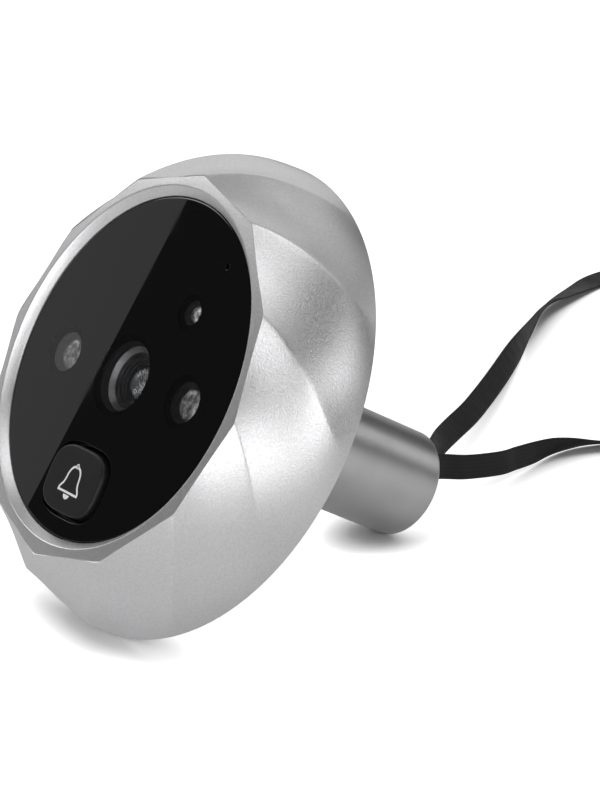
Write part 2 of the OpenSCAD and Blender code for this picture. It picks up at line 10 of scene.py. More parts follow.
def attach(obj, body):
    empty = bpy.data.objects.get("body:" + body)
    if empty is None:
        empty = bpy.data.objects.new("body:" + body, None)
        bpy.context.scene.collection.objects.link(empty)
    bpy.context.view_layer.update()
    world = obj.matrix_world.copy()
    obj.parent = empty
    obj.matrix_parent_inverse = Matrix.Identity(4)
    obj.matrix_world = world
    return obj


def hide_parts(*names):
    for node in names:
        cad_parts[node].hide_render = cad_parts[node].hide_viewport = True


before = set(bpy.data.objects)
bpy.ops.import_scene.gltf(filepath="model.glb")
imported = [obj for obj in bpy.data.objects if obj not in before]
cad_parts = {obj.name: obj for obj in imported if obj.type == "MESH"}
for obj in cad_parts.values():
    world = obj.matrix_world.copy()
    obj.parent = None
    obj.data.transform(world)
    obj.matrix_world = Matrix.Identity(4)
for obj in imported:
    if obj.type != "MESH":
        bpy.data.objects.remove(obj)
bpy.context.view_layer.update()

# Camera
# The view of the photograph: a long lens, a forearm away, looks down on the face from its right side.
# Its place and its way are those that fit the rim, the front ring and the barrel in the picture.
sight = Vector((-0.7715, 0.5416, -0.3338)).normalized()
picture_right = Vector((0.5889, 0.8065, -0.0525))
picture_right = (picture_right - picture_right.dot(sight) * sight).normalized()
camera_axes = Matrix((picture_right, picture_right.cross(sight), -sight)).transposed()
photo_lens = bpy.data.cameras.new("photo_lens")
photo_lens.lens = 112.5
photo_lens.sensor_width = 36
photo_camera = bpy.data.objects.new("photo_camera", photo_lens)
photo_camera.matrix_world = Matrix.Translation((0.23886, -0.15775, 0.12427)) @ camera_axes.to_4x4()
bpy.context.scene.collection.objects.link(photo_camera)
bpy.context.scene.camera = photo_camera

# Ribbon leads
# Two flat leads of black polyester film over a row of copper strips run from the board down the barrel.
# They leave its mouth on edge, sink to the table and lie loose on it.
bezel_r, ring_r, bezel_depth, rim_edge = 30.0, 24.3, 12.4, 0.3
barrel_r, barrel_bore_r, barrel_len, barrel_edge = 7.0, 5.5, 36.0, 0.3

# The unit rests on its rim and on the barrel's end. Pieces are drawn in millimetres on its face,
# x to the right, y up and z out of it, and are then laid down in metres.
lean = math.atan((bezel_r - barrel_r) / (barrel_len - barrel_edge + rim_edge))
lean_sin, lean_cos = math.sin(lean), math.cos(lean)
lift = bezel_r * lean_cos - rim_edge * lean_sin
reach_back = barrel_len * lean_cos + (barrel_r - barrel_edge) * lean_sin
reach_front = bezel_depth * lean_cos + ring_r * lean_sin
to_middle = (reach_front - reach_back) / 2


def lay_way(v):
    v = np.asarray(v, float)
    return np.stack([v[..., 0], v[..., 1] * lean_sin - v[..., 2] * lean_cos,
                     v[..., 1] * lean_cos + v[..., 2] * lean_sin], -1)


def lay(points):
    return (lay_way(points) + [0, to_middle, lift]) / 1000


def make_piece(name, points, faces, finish, body="unit", stands_for=(), sharp=30):
    """A closed piece from points in metres, shaded smooth but for its sharp edges."""
    mesh = bpy.data.meshes.new(name)
    mesh.from_pydata([tuple(p) for p in points], [], [tuple(f) for f in faces])
    shell = bmesh.new()
    shell.from_mesh(mesh)
    bmesh.ops.remove_doubles(shell, verts=shell.verts, dist=1e-7)
    bmesh.ops.recalc_face_normals(shell, faces=shell.faces)
    shell.to_mesh(mesh)
    shell.free()
    return place_piece(name, mesh, finish, body, stands_for, sharp)


def place_piece(name, mesh, finish, body="unit", stands_for=(), sharp=30):
    mesh.shade_smooth()
    mesh.set_sharp_from_angle(angle=math.radians(sharp))
    mesh.materials.clear()
    mesh.materials.append(finish)
    piece = bpy.data.objects.new(name, mesh)
    bpy.context.scene.collection.objects.link(piece)
    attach(piece, body)
    if stands_for:
        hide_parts(*stands_for)
    return piece


def add_node(tree, kind, sockets=None, **settings):
    """A node with its settings made and its sockets set or linked."""
    made = tree.nodes.new(kind)
    for key, value in settings.items():
        setattr(made, key, value)
    for key, value in (sockets or {}).items():
        if isinstance(value, bpy.types.NodeSocket):
            tree.links.new(value, made.inputs[key])
        else:
            made.inputs[key].default_value = value
    return made


class Finish:
    """A procedural material, built up from patterns on the piece's own coordinates."""

    def __init__(self, name, colour, **sockets):
        self.material = bpy.data.materials.new(name)
        self.material.use_nodes = True
        self.tree = self.material.node_tree
        self.shader = self.tree.nodes["Principled BSDF"]
        self.shader.inputs["Base Color"].default_value = (*colour, 1)
        for key, value in sockets.items():
            self.shader.inputs[key.replace("_", " ").title().replace("Ior", "IOR")].default_value = value
        self.where = add_node(self.tree, "ShaderNodeTexCoord").outputs["Object"]

    def placed(self, stretch, turn):
        return add_node(self.tree, "ShaderNodeMapping", {
            "Vector": self.where, "Scale": stretch, "Rotation": turn}).outputs[0]

    def noise(self, cell, detail=2.0, where=None):
        """Noise whose lumps are about that many millimetres across."""
        return add_node(self.tree, "ShaderNodeTexNoise", {
            "Vector": where or self.where, "Scale": 1000 / cell, "Detail": detail}).outputs["Fac"]

    def spread(self, value, low, high, first=0.3, last=0.7):
        return add_node(self.tree, "ShaderNodeMapRange", {
            "Value": value, "From Min": first, "From Max": last, "To Min": low, "To Max": high}).outputs[0]

    def blend(self, share, first, second):
        ramp = add_node(self.tree, "ShaderNodeValToRGB", {"Fac": share}).color_ramp
        ramp.elements[0].color = (*first, 1)
        ramp.elements[1].color = (*second, 1)
        ramp.elements[0].position, ramp.elements[1].position = 0.3, 0.7
        return self.tree.nodes[-1].outputs["Color"]

    def bump(self, height, depth, strength=1.0):
        """Relief of that depth in millimetres."""
        last = self.shader.inputs["Normal"].links
        sockets = {"Height": height, "Distance": depth / 1000, "Strength": strength}
        if last:
            sockets["Normal"] = last[0].from_socket
        self.set("Normal", add_node(self.tree, "ShaderNodeBump", sockets).outputs[0])

    def set(self, socket, value):
        self.tree.links.new(value, self.shader.inputs[socket])

    def mottle(self, cell, detail, first, second):
        """Colour that wanders between two tones in lumps of that size."""
        self.set("Base Color", self.blend(self.noise(cell, detail), first, second))

    def polish(self, cell, low, high, detail=2.0):
        """Roughness that wanders between two levels in lumps of that size."""
        self.set("Roughness", self.spread(self.noise(cell, detail), low, high))


ribbon_film = Finish("ribbon_film", (0.01, 0.01, 0.011), roughness=0.45, specular_ior_level=0.32)
across_film = add_node(ribbon_film.tree, "ShaderNodeUVMap", uv_map="film").outputs[0]
strip_scale = 2.04
strips = add_node(ribbon_film.tree, "ShaderNodeTexWave", {
    "Vector": across_film, "Scale": strip_scale, "Distortion": 0.0}, bands_direction="X").outputs["Fac"]
ribbon_film.bump(strips, 0.008, 0.4)
ribbon_film.polish(2.5, 0.38, 0.54, 3)
ribbon_film.set("Base Color", ribbon_film.blend(strips, (0.008, 0.008, 0.009), (0.013, 0.013, 0.014)))
ribbon_film.bump(ribbon_film.noise(0.25, 2), 0.004, 0.5)

ribbon_w, ribbon_t, ribbon_pitch, ribbon_bend = 3.4, 0.25, 1.8, 2.5
drift_len, exit_step = 25.0, 2.0
socket_face, z_ribbon = 6.9, 4.45
exits = {"left": (-2.6, 2.5), "right": (-0.6, 2.4)}
mouth = lay((0, 0, -barrel_len)) * 1000

# Steps to the right and back from the mouth, height above the table, lean from upright
routes = {
    "left": [
        (-3.6, 6, 6.25, -5), (-5.6, 9.6, 5.85, -14), (-8.8, 13.9, 5.6, -27), (-12.4, 19, 5.1, -36),
        (-17, 25.6, 4.4, -40), (-23, 33.3, 3.6, -41), (-30, 42, 2.8, -40), (-37.4, 51, 2.1, -30),
        (-44.6, 60.3, 1.8, 2), (-49, 66.2, 1.75, 18), (-53, 71.6, 1.5, 44), (-55.6, 76.3, 1.1, 72),
        (-58, 82.7, 0.9, 92), (-59, 86.5, 0.95, 108), (-59.6, 90.5, 0.9, 112), (-60, 94.5, 0.75, 104),
        (-60.2, 98, 0.8, 92), (-60.2, 101.5, 0.8, 90)],
    "right": [
        (-1.2, 6, 6.1, 0), (-1.6, 9, 5.1, 0), (-1.6, 12.5, 4.1, 0), (-1.9, 18.3, 3, 0), (-2.8, 22, 2.5, 2),
        (-3.6, 25.8, 2.05, 8), (-4, 28.6, 1.85, 22), (-4.1, 30.6, 1.65, 34), (-3.9, 33, 1.35, 47),
        (-3.2, 35.3, 1.1, 60), (-1.9, 37.8, 0.85, 68), (0.3, 42, 0.5, 82), (2.6, 47.5, 0.3, 90),
        (5, 54, 0.3, 90), (7.4, 62, 0.3, 90), (9.3, 71, 0.3, 90), (10.6, 80, 0.3, 90), (11.3, 89, 0.4, 90),
        (11.5, 96, 0.7, 90), (11.5, 101.5, 0.8, 90)]}


def unit_way(v):
    return np.asarray(v, float) / np.linalg.norm(v)


def upright(way):
    return unit_way(np.array([0, 1, 0]) - way[1] * way)


def leaning(way, turn):
    right = unit_way([way[1], -way[0], 0])
    return math.cos(math.radians(turn)) * np.cross(right, way) + math.sin(math.radians(turn)) * right


def smooth_route(knots, steps):
    knots = np.array(knots, float)
    last = len(knots) - 1
    spots = []
    for i in range(last):
        a, b, c, d = knots[max(i - 1, 0)], knots[i], knots[i + 1], knots[min(i + 2, last)]
        for t in np.arange(steps) / steps:
            spots.append(0.5 * (2 * b + (c - a) * t + (2 * a - 5 * b + 4 * c - d) * t ** 2
                                + (3 * b - a - 3 * c + d) * t ** 3))
    return np.array(spots + [knots[last]])


def ring_faces(count, rings, first=0):
    """Faces between rings of equal numbers of points."""
    faces = []
    for k in range(rings - 1):
        a, b = first + k * count, first + (k + 1) * count
        faces += [(a + i, a + (i + 1) % count, b + (i + 1) % count, b + i) for i in range(count)]
    return faces


def flat_film(name, spots, ways, acrosses, node):
    """Film with rounded edges along spots in millimetres, with its width across."""
    half_w, half_t = ribbon_w / 2, ribbon_t / 2
    upper = [(1, 0), (0.988, 0.6), (0.955, 0.92), (0.88, 1), (0.45, 1), (0, 1),
             (-0.45, 1), (-0.88, 1), (-0.955, 0.92), (-0.988, 0.6)]
    section = np.array(upper + [(-x, -y) for x, y in upper]) * [half_w, half_t]
    count, rings = len(section), len(spots)
    points = np.concatenate([spot + section[:, :1] * wide + section[:, 1:] * np.cross(way, wide)
                             for spot, way, wide in zip(spots, ways, acrosses)]) / 1000
    faces = ring_faces(count, rings)
    faces += [tuple(range(count))[::-1], tuple(range((rings - 1) * count, rings * count))]
    lead = make_piece(name, points, faces, ribbon_film.material, stands_for=[node], sharp=60)
    run = np.concatenate([[0], np.cumsum(np.linalg.norm(np.diff(spots, axis=0), axis=1))])
    uv = lead.data.uv_layers.new(name="film").data
    for loop in lead.data.loops:
        ring, side = divmod(loop.vertex_index, count)
        uv[loop.index].uv = (section[side, 0] / ribbon_w + 0.5, run[ring] / 100)
    return lead


leads, lead_paths = {}, {}
for side, hand in ((-1, "left"), (1, "right")):
    home, leave = np.array([side * ribbon_pitch / 2, 0]), np.array(exits[hand])
    bend_x = ribbon_pitch / 2 + ribbon_bend
    inner = [((side * socket_face, 0, z_ribbon), (-side, 0, 0))]
    for a in np.radians(np.linspace(0, 90, 13)):
        x, z = bend_x - ribbon_bend * math.sin(a), z_ribbon - ribbon_bend * (1 - math.cos(a))
        inner.append(((side * x, 0, z), (-side * math.cos(a), 0, -math.sin(a))))
    for t in np.linspace(0, 1, 17):
        drift, slope = (leave - home) * t * t, 2 * t * (leave - home) / drift_len
        inner.append(((*(home + drift), drift_len * (1 - t) - barrel_len), unit_way((*slope, -1))))
    spots, ways = np.array([s for s, w in inner]), np.array([w for s, w in inner])
    flat_film(f"inner_lead_{hand}", lay(spots) * 1000, lay_way(ways), [lay_way(upright(w)) for w in ways],
              f"ribbon_lead_{hand}")

    start, way_out = lay(spots[-1]) * 1000, lay_way(ways[-1])
    knots = [(*start, 0), (*(start + exit_step * way_out), 0)]
    knots += [(mouth[0] + x, mouth[1] + y, z, turn) for x, y, z, turn in routes[hand]]
    path = smooth_route(knots, 8)
    spots = path[:, :3]
    last = len(spots) - 1
    ways = np.array([unit_way(spots[min(i + 1, last)] - spots[max(i - 1, 0)]) for i in range(last + 1)])
    ways[0], ways[-1] = way_out, (0, 1, 0)
    acrosses = [leaning(w, turn) for w, turn in zip(ways, path[:, 3])]
    acrosses[0] = lay_way(upright(unit_way((*(2 * (leave - home) / drift_len), -1))))
    leads[hand] = flat_film(f"free_lead_{hand}", spots, ways, acrosses, f"ribbon_{hand}")
    lead_paths[hand] = spots / 1000

# Connectors
# Small plugs of ivory nylon on the ribbons' ends, each a ribbed body with a tongue.
# Gilt contacts lie side by side on the tongue.
ivory_nylon = Finish("ivory_nylon", (0.62, 0.59, 0.5), roughness=0.42, subsurface_weight=0.05)
ivory_nylon.mottle(1.6, 3, (0.58, 0.55, 0.46), (0.66, 0.63, 0.55))
ivory_nylon.polish(0.3, 0.36, 0.5)
ivory_nylon.bump(ivory_nylon.noise(0.12, 2), 0.004, 0.5)
gilt = Finish("gilt", (0.83, 0.6, 0.25), metallic=1.0, roughness=0.25)
gilt.polish(0.2, 0.18, 0.34)

connector_len, connector_w, connector_h = 6.0, 5.0, 1.6
tongue_len, tongue_h = connector_len / 3, connector_h / 2
contact_count, contact_pitch, contact_w, contact_t = 6, 0.5, 0.28, 0.06
contact_inputs = [("Contacts", "Int", contact_count), ("Pitch", "Float", contact_pitch),
                  ("Contact size", "Vector", (contact_w, tongue_len - 0.35, contact_t))]


def new_tree(name, inputs):
    """A Geometry Nodes tree with named inputs, its input sockets and its output socket."""
    tree = bpy.data.node_groups.new(name, "GeometryNodeTree")
    for label, kind, value in inputs:
        socket = tree.interface.new_socket(label, in_out="INPUT", socket_type="NodeSocket" + kind)
        if value is not None:
            socket.default_value = value
    tree.interface.new_socket("Geometry", in_out="OUTPUT", socket_type="NodeSocketGeometry")
    return tree, tree.nodes.new("NodeGroupInput").outputs, tree.nodes.new("NodeGroupOutput").inputs[0]


def end_tree(tree, geometry, finish, out):
    whole = add_node(tree, "GeometryNodeRealizeInstances", {"Geometry": geometry}).outputs[0]
    dressed = add_node(tree, "GeometryNodeSetMaterial", {"Geometry": whole, "Material": finish}).outputs[0]
    tree.links.new(dressed, out)


def grow(tree, inputs):
    """The tree's result with these inputs, as a plain mesh."""
    values = {label: value for label, kind, value in inputs}
    host = bpy.data.objects.new(tree.name, bpy.data.meshes.new(tree.name))
    bpy.context.scene.collection.objects.link(host)
    modifier = host.modifiers.new("grow", "NODES")
    modifier.node_group = tree
    for item in tree.interface.items_tree:
        if item.in_out == "INPUT" and item.name in values:
            modifier[item.identifier] = values[item.name]
    host.update_tag()
    mesh = bpy.data.meshes.new_from_object(host.evaluated_get(bpy.context.evaluated_depsgraph_get()))
    bpy.data.objects.remove(host)
    return mesh


contact_row, given, row_out = new_tree("contact_row", contact_inputs)
contact_step = add_node(contact_row, "ShaderNodeCombineXYZ", {"X": given["Pitch"]}).outputs[0]
contact_spots = add_node(contact_row, "GeometryNodeMeshLine", {
    "Count": given["Contacts"], "Offset": contact_step}).outputs[0]
contact_bar = add_node(contact_row, "GeometryNodeMeshCube", {"Size": given["Contact size"]}).outputs[0]
contacts_set = add_node(contact_row, "GeometryNodeInstanceOnPoints", {
    "Points": contact_spots, "Instance": contact_bar}).outputs[0]
end_tree(contact_row, contacts_set, gilt.material, row_out)


def soft_block(shell, size, at, edge):
    """Adds a block with rounded edges to a bmesh, in millimetres."""
    made = bmesh.ops.create_cube(shell, size=1)["verts"]
    for v in made:
        v.co = Vector([c * s + a for c, s, a in zip(v.co, size, at)])
    sides = list({e for v in made for e in v.link_edges})
    bmesh.ops.bevel(shell, geom=sides, offset=edge, segments=2, profile=0.5, affect="EDGES")


body_len = connector_len - tongue_len
rib_len, rib_w, rib_h, rib_x = 2.6, 0.5, 0.5, 0.8
z_rib = (connector_h - rib_h) / 2
for hand in ("left", "right"):
    x, y, z, _ = routes[hand][-1]
    place = Matrix.Translation(Vector((mouth[0] + x, mouth[1] + y, z)) / 1000) @ Matrix.Scale(0.001, 4)
    shell = bmesh.new()
    soft_block(shell, (connector_w, body_len, connector_h - 0.3), (0, body_len / 2, -0.15), 0.15)
    for x in (-connector_w / 2 + rib_w / 2, -rib_x, rib_x, connector_w / 2 - rib_w / 2):
        soft_block(shell, (rib_w, rib_len, rib_h), (x, body_len - rib_len / 2, z_rib), 0.1)
    soft_block(shell, (connector_w, 0.7, rib_h), (0, 0.45, z_rib), 0.12)
    soft_block(shell, (ribbon_w, tongue_len + 0.4, tongue_h), (0, body_len + tongue_len / 2 - 0.2, 0), 0.12)
    shell.transform(place)
    mesh = bpy.data.meshes.new(f"plug_{hand}")
    shell.to_mesh(mesh)
    shell.free()
    plug = place_piece(f"plug_{hand}", mesh, ivory_nylon.material,
                       stands_for=[f"connector_{hand}"])
    row = grow(contact_row, contact_inputs)
    row.transform(place @ Matrix.Translation((
        -contact_pitch * (contact_count - 1) / 2, body_len + tongue_len / 2 - 0.1, tongue_h / 2)))
    contacts = place_piece(f"plug_contacts_{hand}", row, gilt.material)

# Bezel
# A die-cast ring whose side swirls from a round rim into twelve flat facets, plated in satin silver.
# Inside it has a pocket for the window, a ledge, and a seat for the rear cover.
satin_silver = Finish("satin_silver", (0.78, 0.78, 0.79), metallic=1.0, roughness=0.38)
silver_grain = satin_silver.noise(0.2, 2)
satin_silver.set("Roughness", satin_silver.spread(silver_grain, 0.33, 0.45))
silver_cloud = satin_silver.spread(satin_silver.noise(6, 3), 0.97, 1.0)
silver_speck = satin_silver.spread(satin_silver.noise(0.26, 1), 0.94, 1.04)


def reckon_in(tree, operation, *values):
    """The result of a sum in a node tree."""
    return add_node(tree, "ShaderNodeMath", dict(enumerate(values)), operation=operation).outputs[0]


silver_tone = reckon_in(satin_silver.tree, "MULTIPLY", silver_cloud, silver_speck)
satin_silver.set("Base Color", add_node(satin_silver.tree, "ShaderNodeMix", {
    0: 1.0, 6: (0.79, 0.79, 0.8, 1), 7: silver_tone}, data_type="RGBA", blend_type="MULTIPLY").outputs[2])
satin_silver.bump(silver_grain, 0.02)

facet_count, facet_columns, side_rows = 12, 16, 48
swirl, facet_turn = 27.0, -2.0
wall_bulge, ridge_fade, swirl_ease = 2.2, 1.5, 1.5
ridge_softness, facet_scoop = 0.6, 0.12
side_end, ring_fall, edge_round = 0.992, 0.09, 0.06

swirl_inputs = [
    ("Facets", "Int", facet_count), ("Columns per facet", "Int", facet_columns), ("Rows", "Int", side_rows),
    ("Rim radius", "Float", bezel_r), ("Ring radius", "Float", ring_r), ("Depth", "Float", bezel_depth),
    ("Rim edge", "Float", rim_edge), ("Swirl", "Float", swirl), ("First ridge", "Float", 90 + facet_turn),
    ("Bulge", "Float", wall_bulge), ("Ridge fade", "Float", ridge_fade), ("Swirl ease", "Float", swirl_ease),
    ("Ridge softness", "Float", ridge_softness), ("Scoop", "Float", facet_scoop),
    ("Side end", "Float", side_end)]
swirl_tree, given, swirl_out = new_tree("bezel_swirl", swirl_inputs)


def reckon(operation, *values):
    return reckon_in(swirl_tree, operation, *values)


columns = reckon("MULTIPLY", given["Facets"], given["Columns per facet"])
side_grid = add_node(swirl_tree, "GeometryNodeMeshGrid", {
    "Size X": 1.0, "Size Y": 1.0, "Vertices X": reckon("ADD", columns, 1.0),
    "Vertices Y": given["Rows"]}).outputs[0]
grid_place = add_node(swirl_tree, "ShaderNodeSeparateXYZ", {
    0: add_node(swirl_tree, "GeometryNodeInputPosition").outputs[0]}).outputs
turn_share = reckon("ADD", grid_place[0], 0.5)
share = reckon("MULTIPLY", reckon("ADD", grid_place[1], 0.5), given["Side end"])

# Columns crowd towards the ridges, and the corner at a ridge is eased to a small round.
# A hair is added to each column's place, so that one on a ridge can't fall into the facet before.
column_hair = 1e-5
facet_place = reckon("ADD", reckon("MULTIPLY", turn_share, given["Facets"]), column_hair)
facet_number = reckon("FLOOR", facet_place)
in_facet = reckon("SUBTRACT", facet_place, facet_number)
crowding = reckon("COSINE", reckon("MULTIPLY", in_facet, math.pi))
in_facet = reckon("MULTIPLY", reckon("SUBTRACT", 1.0, crowding), 0.5)
facet_angle = reckon("DIVIDE", 2 * math.pi, given["Facets"])
half_angle = reckon("MULTIPLY", facet_angle, 0.5)
from_ridge = reckon("SUBTRACT", half_angle, reckon("ABSOLUTE", reckon(
    "MULTIPLY", reckon("SUBTRACT", in_facet, 0.5), facet_angle)))
softness = reckon("RADIANS", given["Ridge softness"])
eased = reckon("SQRT", reckon("ADD", reckon("POWER", from_ridge, 2.0), reckon("POWER", softness, 2.0)))
from_middle = reckon("SUBTRACT", half_angle, eased)
flat_outline = reckon("DIVIDE", reckon("COSINE", half_angle), reckon("COSINE", from_middle))

# Up the side the outline goes from round to flat, narrows, and turns
roundness = reckon("POWER", reckon("SUBTRACT", 1.0, share), given["Ridge fade"])
flatness = reckon("SUBTRACT", 1.0, roundness)
outline = reckon("ADD", roundness, reckon("MULTIPLY", flatness, flat_outline))
narrowing = reckon("MULTIPLY", reckon("SUBTRACT", given["Rim radius"], given["Ring radius"]),
                   reckon("POWER", share, given["Bulge"]))
radius = reckon("MULTIPLY", reckon("SUBTRACT", given["Rim radius"], narrowing), outline)
hollow = reckon("POWER", reckon("SINE", reckon("MULTIPLY", in_facet, math.pi)), 2.0)
radius = reckon("SUBTRACT", radius, reckon("MULTIPLY", reckon("MULTIPLY", hollow, flatness), given["Scoop"]))
swirl_left = reckon("SUBTRACT", reckon("POWER", share, given["Swirl ease"]), 1.0)
turned_by = reckon("MULTIPLY", given["Swirl"], swirl_left)
side_angle = reckon("ADD", reckon("RADIANS", reckon("ADD", given["First ridge"], turned_by)),
                    reckon("MULTIPLY", reckon("ADD", facet_number, in_facet), facet_angle))
side_height = reckon("ADD", given["Rim edge"], reckon(
    "MULTIPLY", share, reckon("SUBTRACT", given["Depth"], given["Rim edge"])))
side_place = add_node(swirl_tree, "ShaderNodeCombineXYZ", {
    0: reckon("MULTIPLY", radius, reckon("COSINE", side_angle)),
    1: reckon("MULTIPLY", radius, reckon("SINE", side_angle)), 2: side_height}).outputs[0]
side_set = add_node(swirl_tree, "GeometryNodeSetPosition", {
    "Geometry": side_grid, "Position": side_place}).outputs[0]
side_joined = add_node(swirl_tree, "GeometryNodeMergeByDistance", {
    "Geometry": side_set, "Distance": 1e-4}).outputs[0]
end_tree(swirl_tree, side_joined, satin_silver.material, swirl_out)

side_mesh = grow(swirl_tree, swirl_inputs)

# The window's pocket, the ledge, the cavity and the cover's seat close the shell from ring to rim
window_r, window_fit, bevel_w, z_glass, z_ledge, z_flange = 21.3, 0.1, 0.95, 11.4, 10.05, 8.6
seat_r, cavity_r, cover_r, cover_t = 19.5, 24.74, 26.24, 1.6
pocket_r = window_r + window_fit
bevel_r = pocket_r + bevel_w
shell = bmesh.new()
shell.from_mesh(side_mesh)
shell.verts.ensure_lookup_table()
edge_verts = [v for v in shell.verts if v.is_boundary]
top_z = max(v.co.z for v in shell.verts)


def by_angle(verts):
    return sorted(verts, key=lambda v: math.atan2(v.co.y, v.co.x))


top_loop = by_angle([v for v in edge_verts if v.co.z > top_z - 0.01])
rim_loop = by_angle([v for v in edge_verts if v.co.z < rim_edge + 0.01])


def next_loop(last, places):
    """Joins a loop of points to the last one and returns it."""
    made = [shell.verts.new(p) for p in places]
    for i in range(len(last)):
        j = (i + 1) % len(last)
        shell.faces.new((last[i], last[j], made[j], made[i]))
    return made


# The side stops just short of the ring, and a small round carries it on to the ring's corners
edge_scale = ring_r / (bezel_r - (bezel_r - ring_r) * side_end ** wall_bulge)
edge_turn = math.radians(swirl * (1 - side_end ** swirl_ease))
side_ends = [Vector(v.co) for v in top_loop]


def on_ring(x, y, inward=0.0):
    """A point of the ring's face, which falls away outwards a little."""
    share = 1 - inward / math.hypot(x, y)
    fall = ring_fall * (math.hypot(x, y) - inward - bevel_r)
    return Vector((x * share, y * share, bezel_depth - max(fall, 0)))


corners = [Matrix.Rotation(edge_turn, 2) @ (p.xy * edge_scale) for p in side_ends]
ring_edges = [on_ring(*c) for c in corners]
ring_starts = [on_ring(*c, edge_round) for c in corners]
loop = top_loop
for t in (0.25, 0.5, 0.75, 1.0):
    loop = next_loop(loop, [p * (1 - t) ** 2 + e * 2 * t * (1 - t) + r * t * t
                            for p, e, r in zip(side_ends, ring_edges, ring_starts)])
loop = next_loop(loop, [on_ring(*c, 1.6 * edge_round) for c in corners])
angles = np.array([math.atan2(v.co.y, v.co.x) for v in loop])
rounds = [(bevel_r + 0.2, on_ring(bevel_r + 0.2, 0).z), (bevel_r + 0.1, bezel_depth - 0.015),
          (bevel_r + 0.03, bezel_depth - 0.03), (bevel_r - 0.05, bezel_depth - 0.1),
          (pocket_r + 0.06, z_glass + 0.07), (pocket_r, z_glass - 0.05), (pocket_r, z_ledge),
          (seat_r, z_ledge), (seat_r, z_flange), (cavity_r, z_flange)]
for r, z in rounds:
    loop = next_loop(loop, [(r * math.cos(a), r * math.sin(a), z) for a in angles])
rim_angles = np.array([math.atan2(v.co.y, v.co.x) for v in rim_loop])


def turn_between(first, second):
    return (second - first + math.pi) % (2 * math.pi) - math.pi


# Each column comes down to the rim's nearest one
rim_step = min(range(len(angles)), key=lambda k: np.abs(turn_between(angles, np.roll(rim_angles, -k))).sum())
rim_loop = rim_loop[rim_step:] + rim_loop[:rim_step]
rim_angles = np.roll(rim_angles, -rim_step)
lid_hole_r, lid_hole_edge, rim_foot_r = cover_r + window_fit, 0.08, bezel_r - rim_edge
rounds = [(cavity_r, cover_t), (lid_hole_r, cover_t), (lid_hole_r, lid_hole_edge),
          (lid_hole_r + lid_hole_edge, 0), (rim_foot_r - 0.14, 0), (rim_foot_r - 0.05, 0.01),
          (rim_foot_r + 0.04, 0.07), (bezel_r - 0.07, rim_edge - 0.06), (bezel_r - 0.02, rim_edge - 0.01)]
for r, z in rounds:
    loop = next_loop(loop, [(r * math.cos(a), r * math.sin(a), z) for a in rim_angles])
for i in range(len(loop)):
    j = (i + 1) % len(loop)
    shell.faces.new((loop[i], loop[j], rim_loop[j], rim_loop[i]))
bmesh.ops.recalc_face_normals(shell, faces=shell.faces)
for v in shell.verts:
    v.co = Vector(lay(v.co))
shell.to_mesh(side_mesh)
shell.free()
place_piece("swirled_bezel", side_mesh, satin_silver.material, stands_for=["bezel"], sharp=40)

# Front window
# A disc of acrylic with a polished edge, let into the bezel and open for the button and the microphone.
# Its back is printed black, and the print leaves clear spots for the lens, the lamps and the light sensor.
acrylic_clear, print_black = (0.97, 0.975, 0.98), (0.002, 0.002, 0.0023)
clear_acrylic = Finish("clear_acrylic", acrylic_clear, roughness=0.0, ior=1.49, transmission_weight=1.0)
clear_acrylic.set("Roughness", clear_acrylic.spread(clear_acrylic.noise(7, 4), 0.0, 0.035, 0.45, 0.75))
spot_margin = 0.65
lens_drop, lamp_x, light_at = 1.0, 12.8, (7.5, 8.8)
clear_spots = {(0, -lens_drop): 4.4, (-lamp_x, -lens_drop): 2.5, (lamp_x, -lens_drop): 2.5, light_at: 1.5}

# The acrylic is clear over the spots in its print, and black through and through elsewhere
clear = 0.0
for (x, y), r in clear_spots.items():
    from_spot = add_node(clear_acrylic.tree, "ShaderNodeVectorMath", {
        0: clear_acrylic.where, 1: tuple(lay((x, y, z_glass)))}, operation="DISTANCE").outputs["Value"]
    on_spot = reckon_in(clear_acrylic.tree, "LESS_THAN", from_spot, (r + spot_margin) / 1000)
    clear = reckon_in(clear_acrylic.tree, "MAXIMUM", on_spot, clear)
clear_acrylic.set("Transmission Weight", clear)
clear_acrylic.set("Base Color", clear_acrylic.blend(clear, print_black, acrylic_clear))
black_print = Finish("black_print", print_black, roughness=0.55, specular_ior_level=0.0)
black_print.polish(0.6, 0.48, 0.62)
black_print.mottle(3, 3, (0.0015, 0.0015, 0.0018), (0.0028, 0.0028, 0.003))

button_at, button_w, button_h, button_square, button_gap = (0, -14.6), 10.8, 8.2, 3.2, 0.5
mic_hole_at, mic_hole_r = (10.8, 15.1), 0.35
z_print, print_contact = 10.4, 0.02


def circle(r, count, at=(0, 0)):
    a = np.linspace(0, 2 * math.pi, count, endpoint=False)
    return np.stack([at[0] + r * np.cos(a), at[1] + r * np.sin(a)], 1)


def squircle(w, h, count, at=(0, 0)):
    a = np.linspace(0, 2 * math.pi, count, endpoint=False)
    bow = 2 / button_square
    x, y = np.sign(np.cos(a)) * np.abs(np.cos(a)) ** bow, np.sign(np.sin(a)) * np.abs(np.sin(a)) ** bow
    outline = np.stack([x * w / 2, y * h / 2], 1)
    ends = np.vstack([outline, outline[:1]])
    run = np.concatenate([[0], np.cumsum(np.linalg.norm(np.diff(ends, axis=0), axis=1))])
    even = np.linspace(0, run[-1], count, endpoint=False)
    return np.stack([np.interp(even, run, ends[:, 0]) + at[0], np.interp(even, run, ends[:, 1]) + at[1]], 1)


def inset(loop, by):
    """The loop drawn in by that much, on its left hand."""
    ahead, behind = np.roll(loop, -1, 0) - loop, loop - np.roll(loop, 1, 0)
    way = ahead / np.linalg.norm(ahead, axis=1)[:, None] + behind / np.linalg.norm(behind, axis=1)[:, None]
    way /= np.linalg.norm(way, axis=1)[:, None]
    return loop + by * np.stack([-way[:, 1], way[:, 0]], 1)


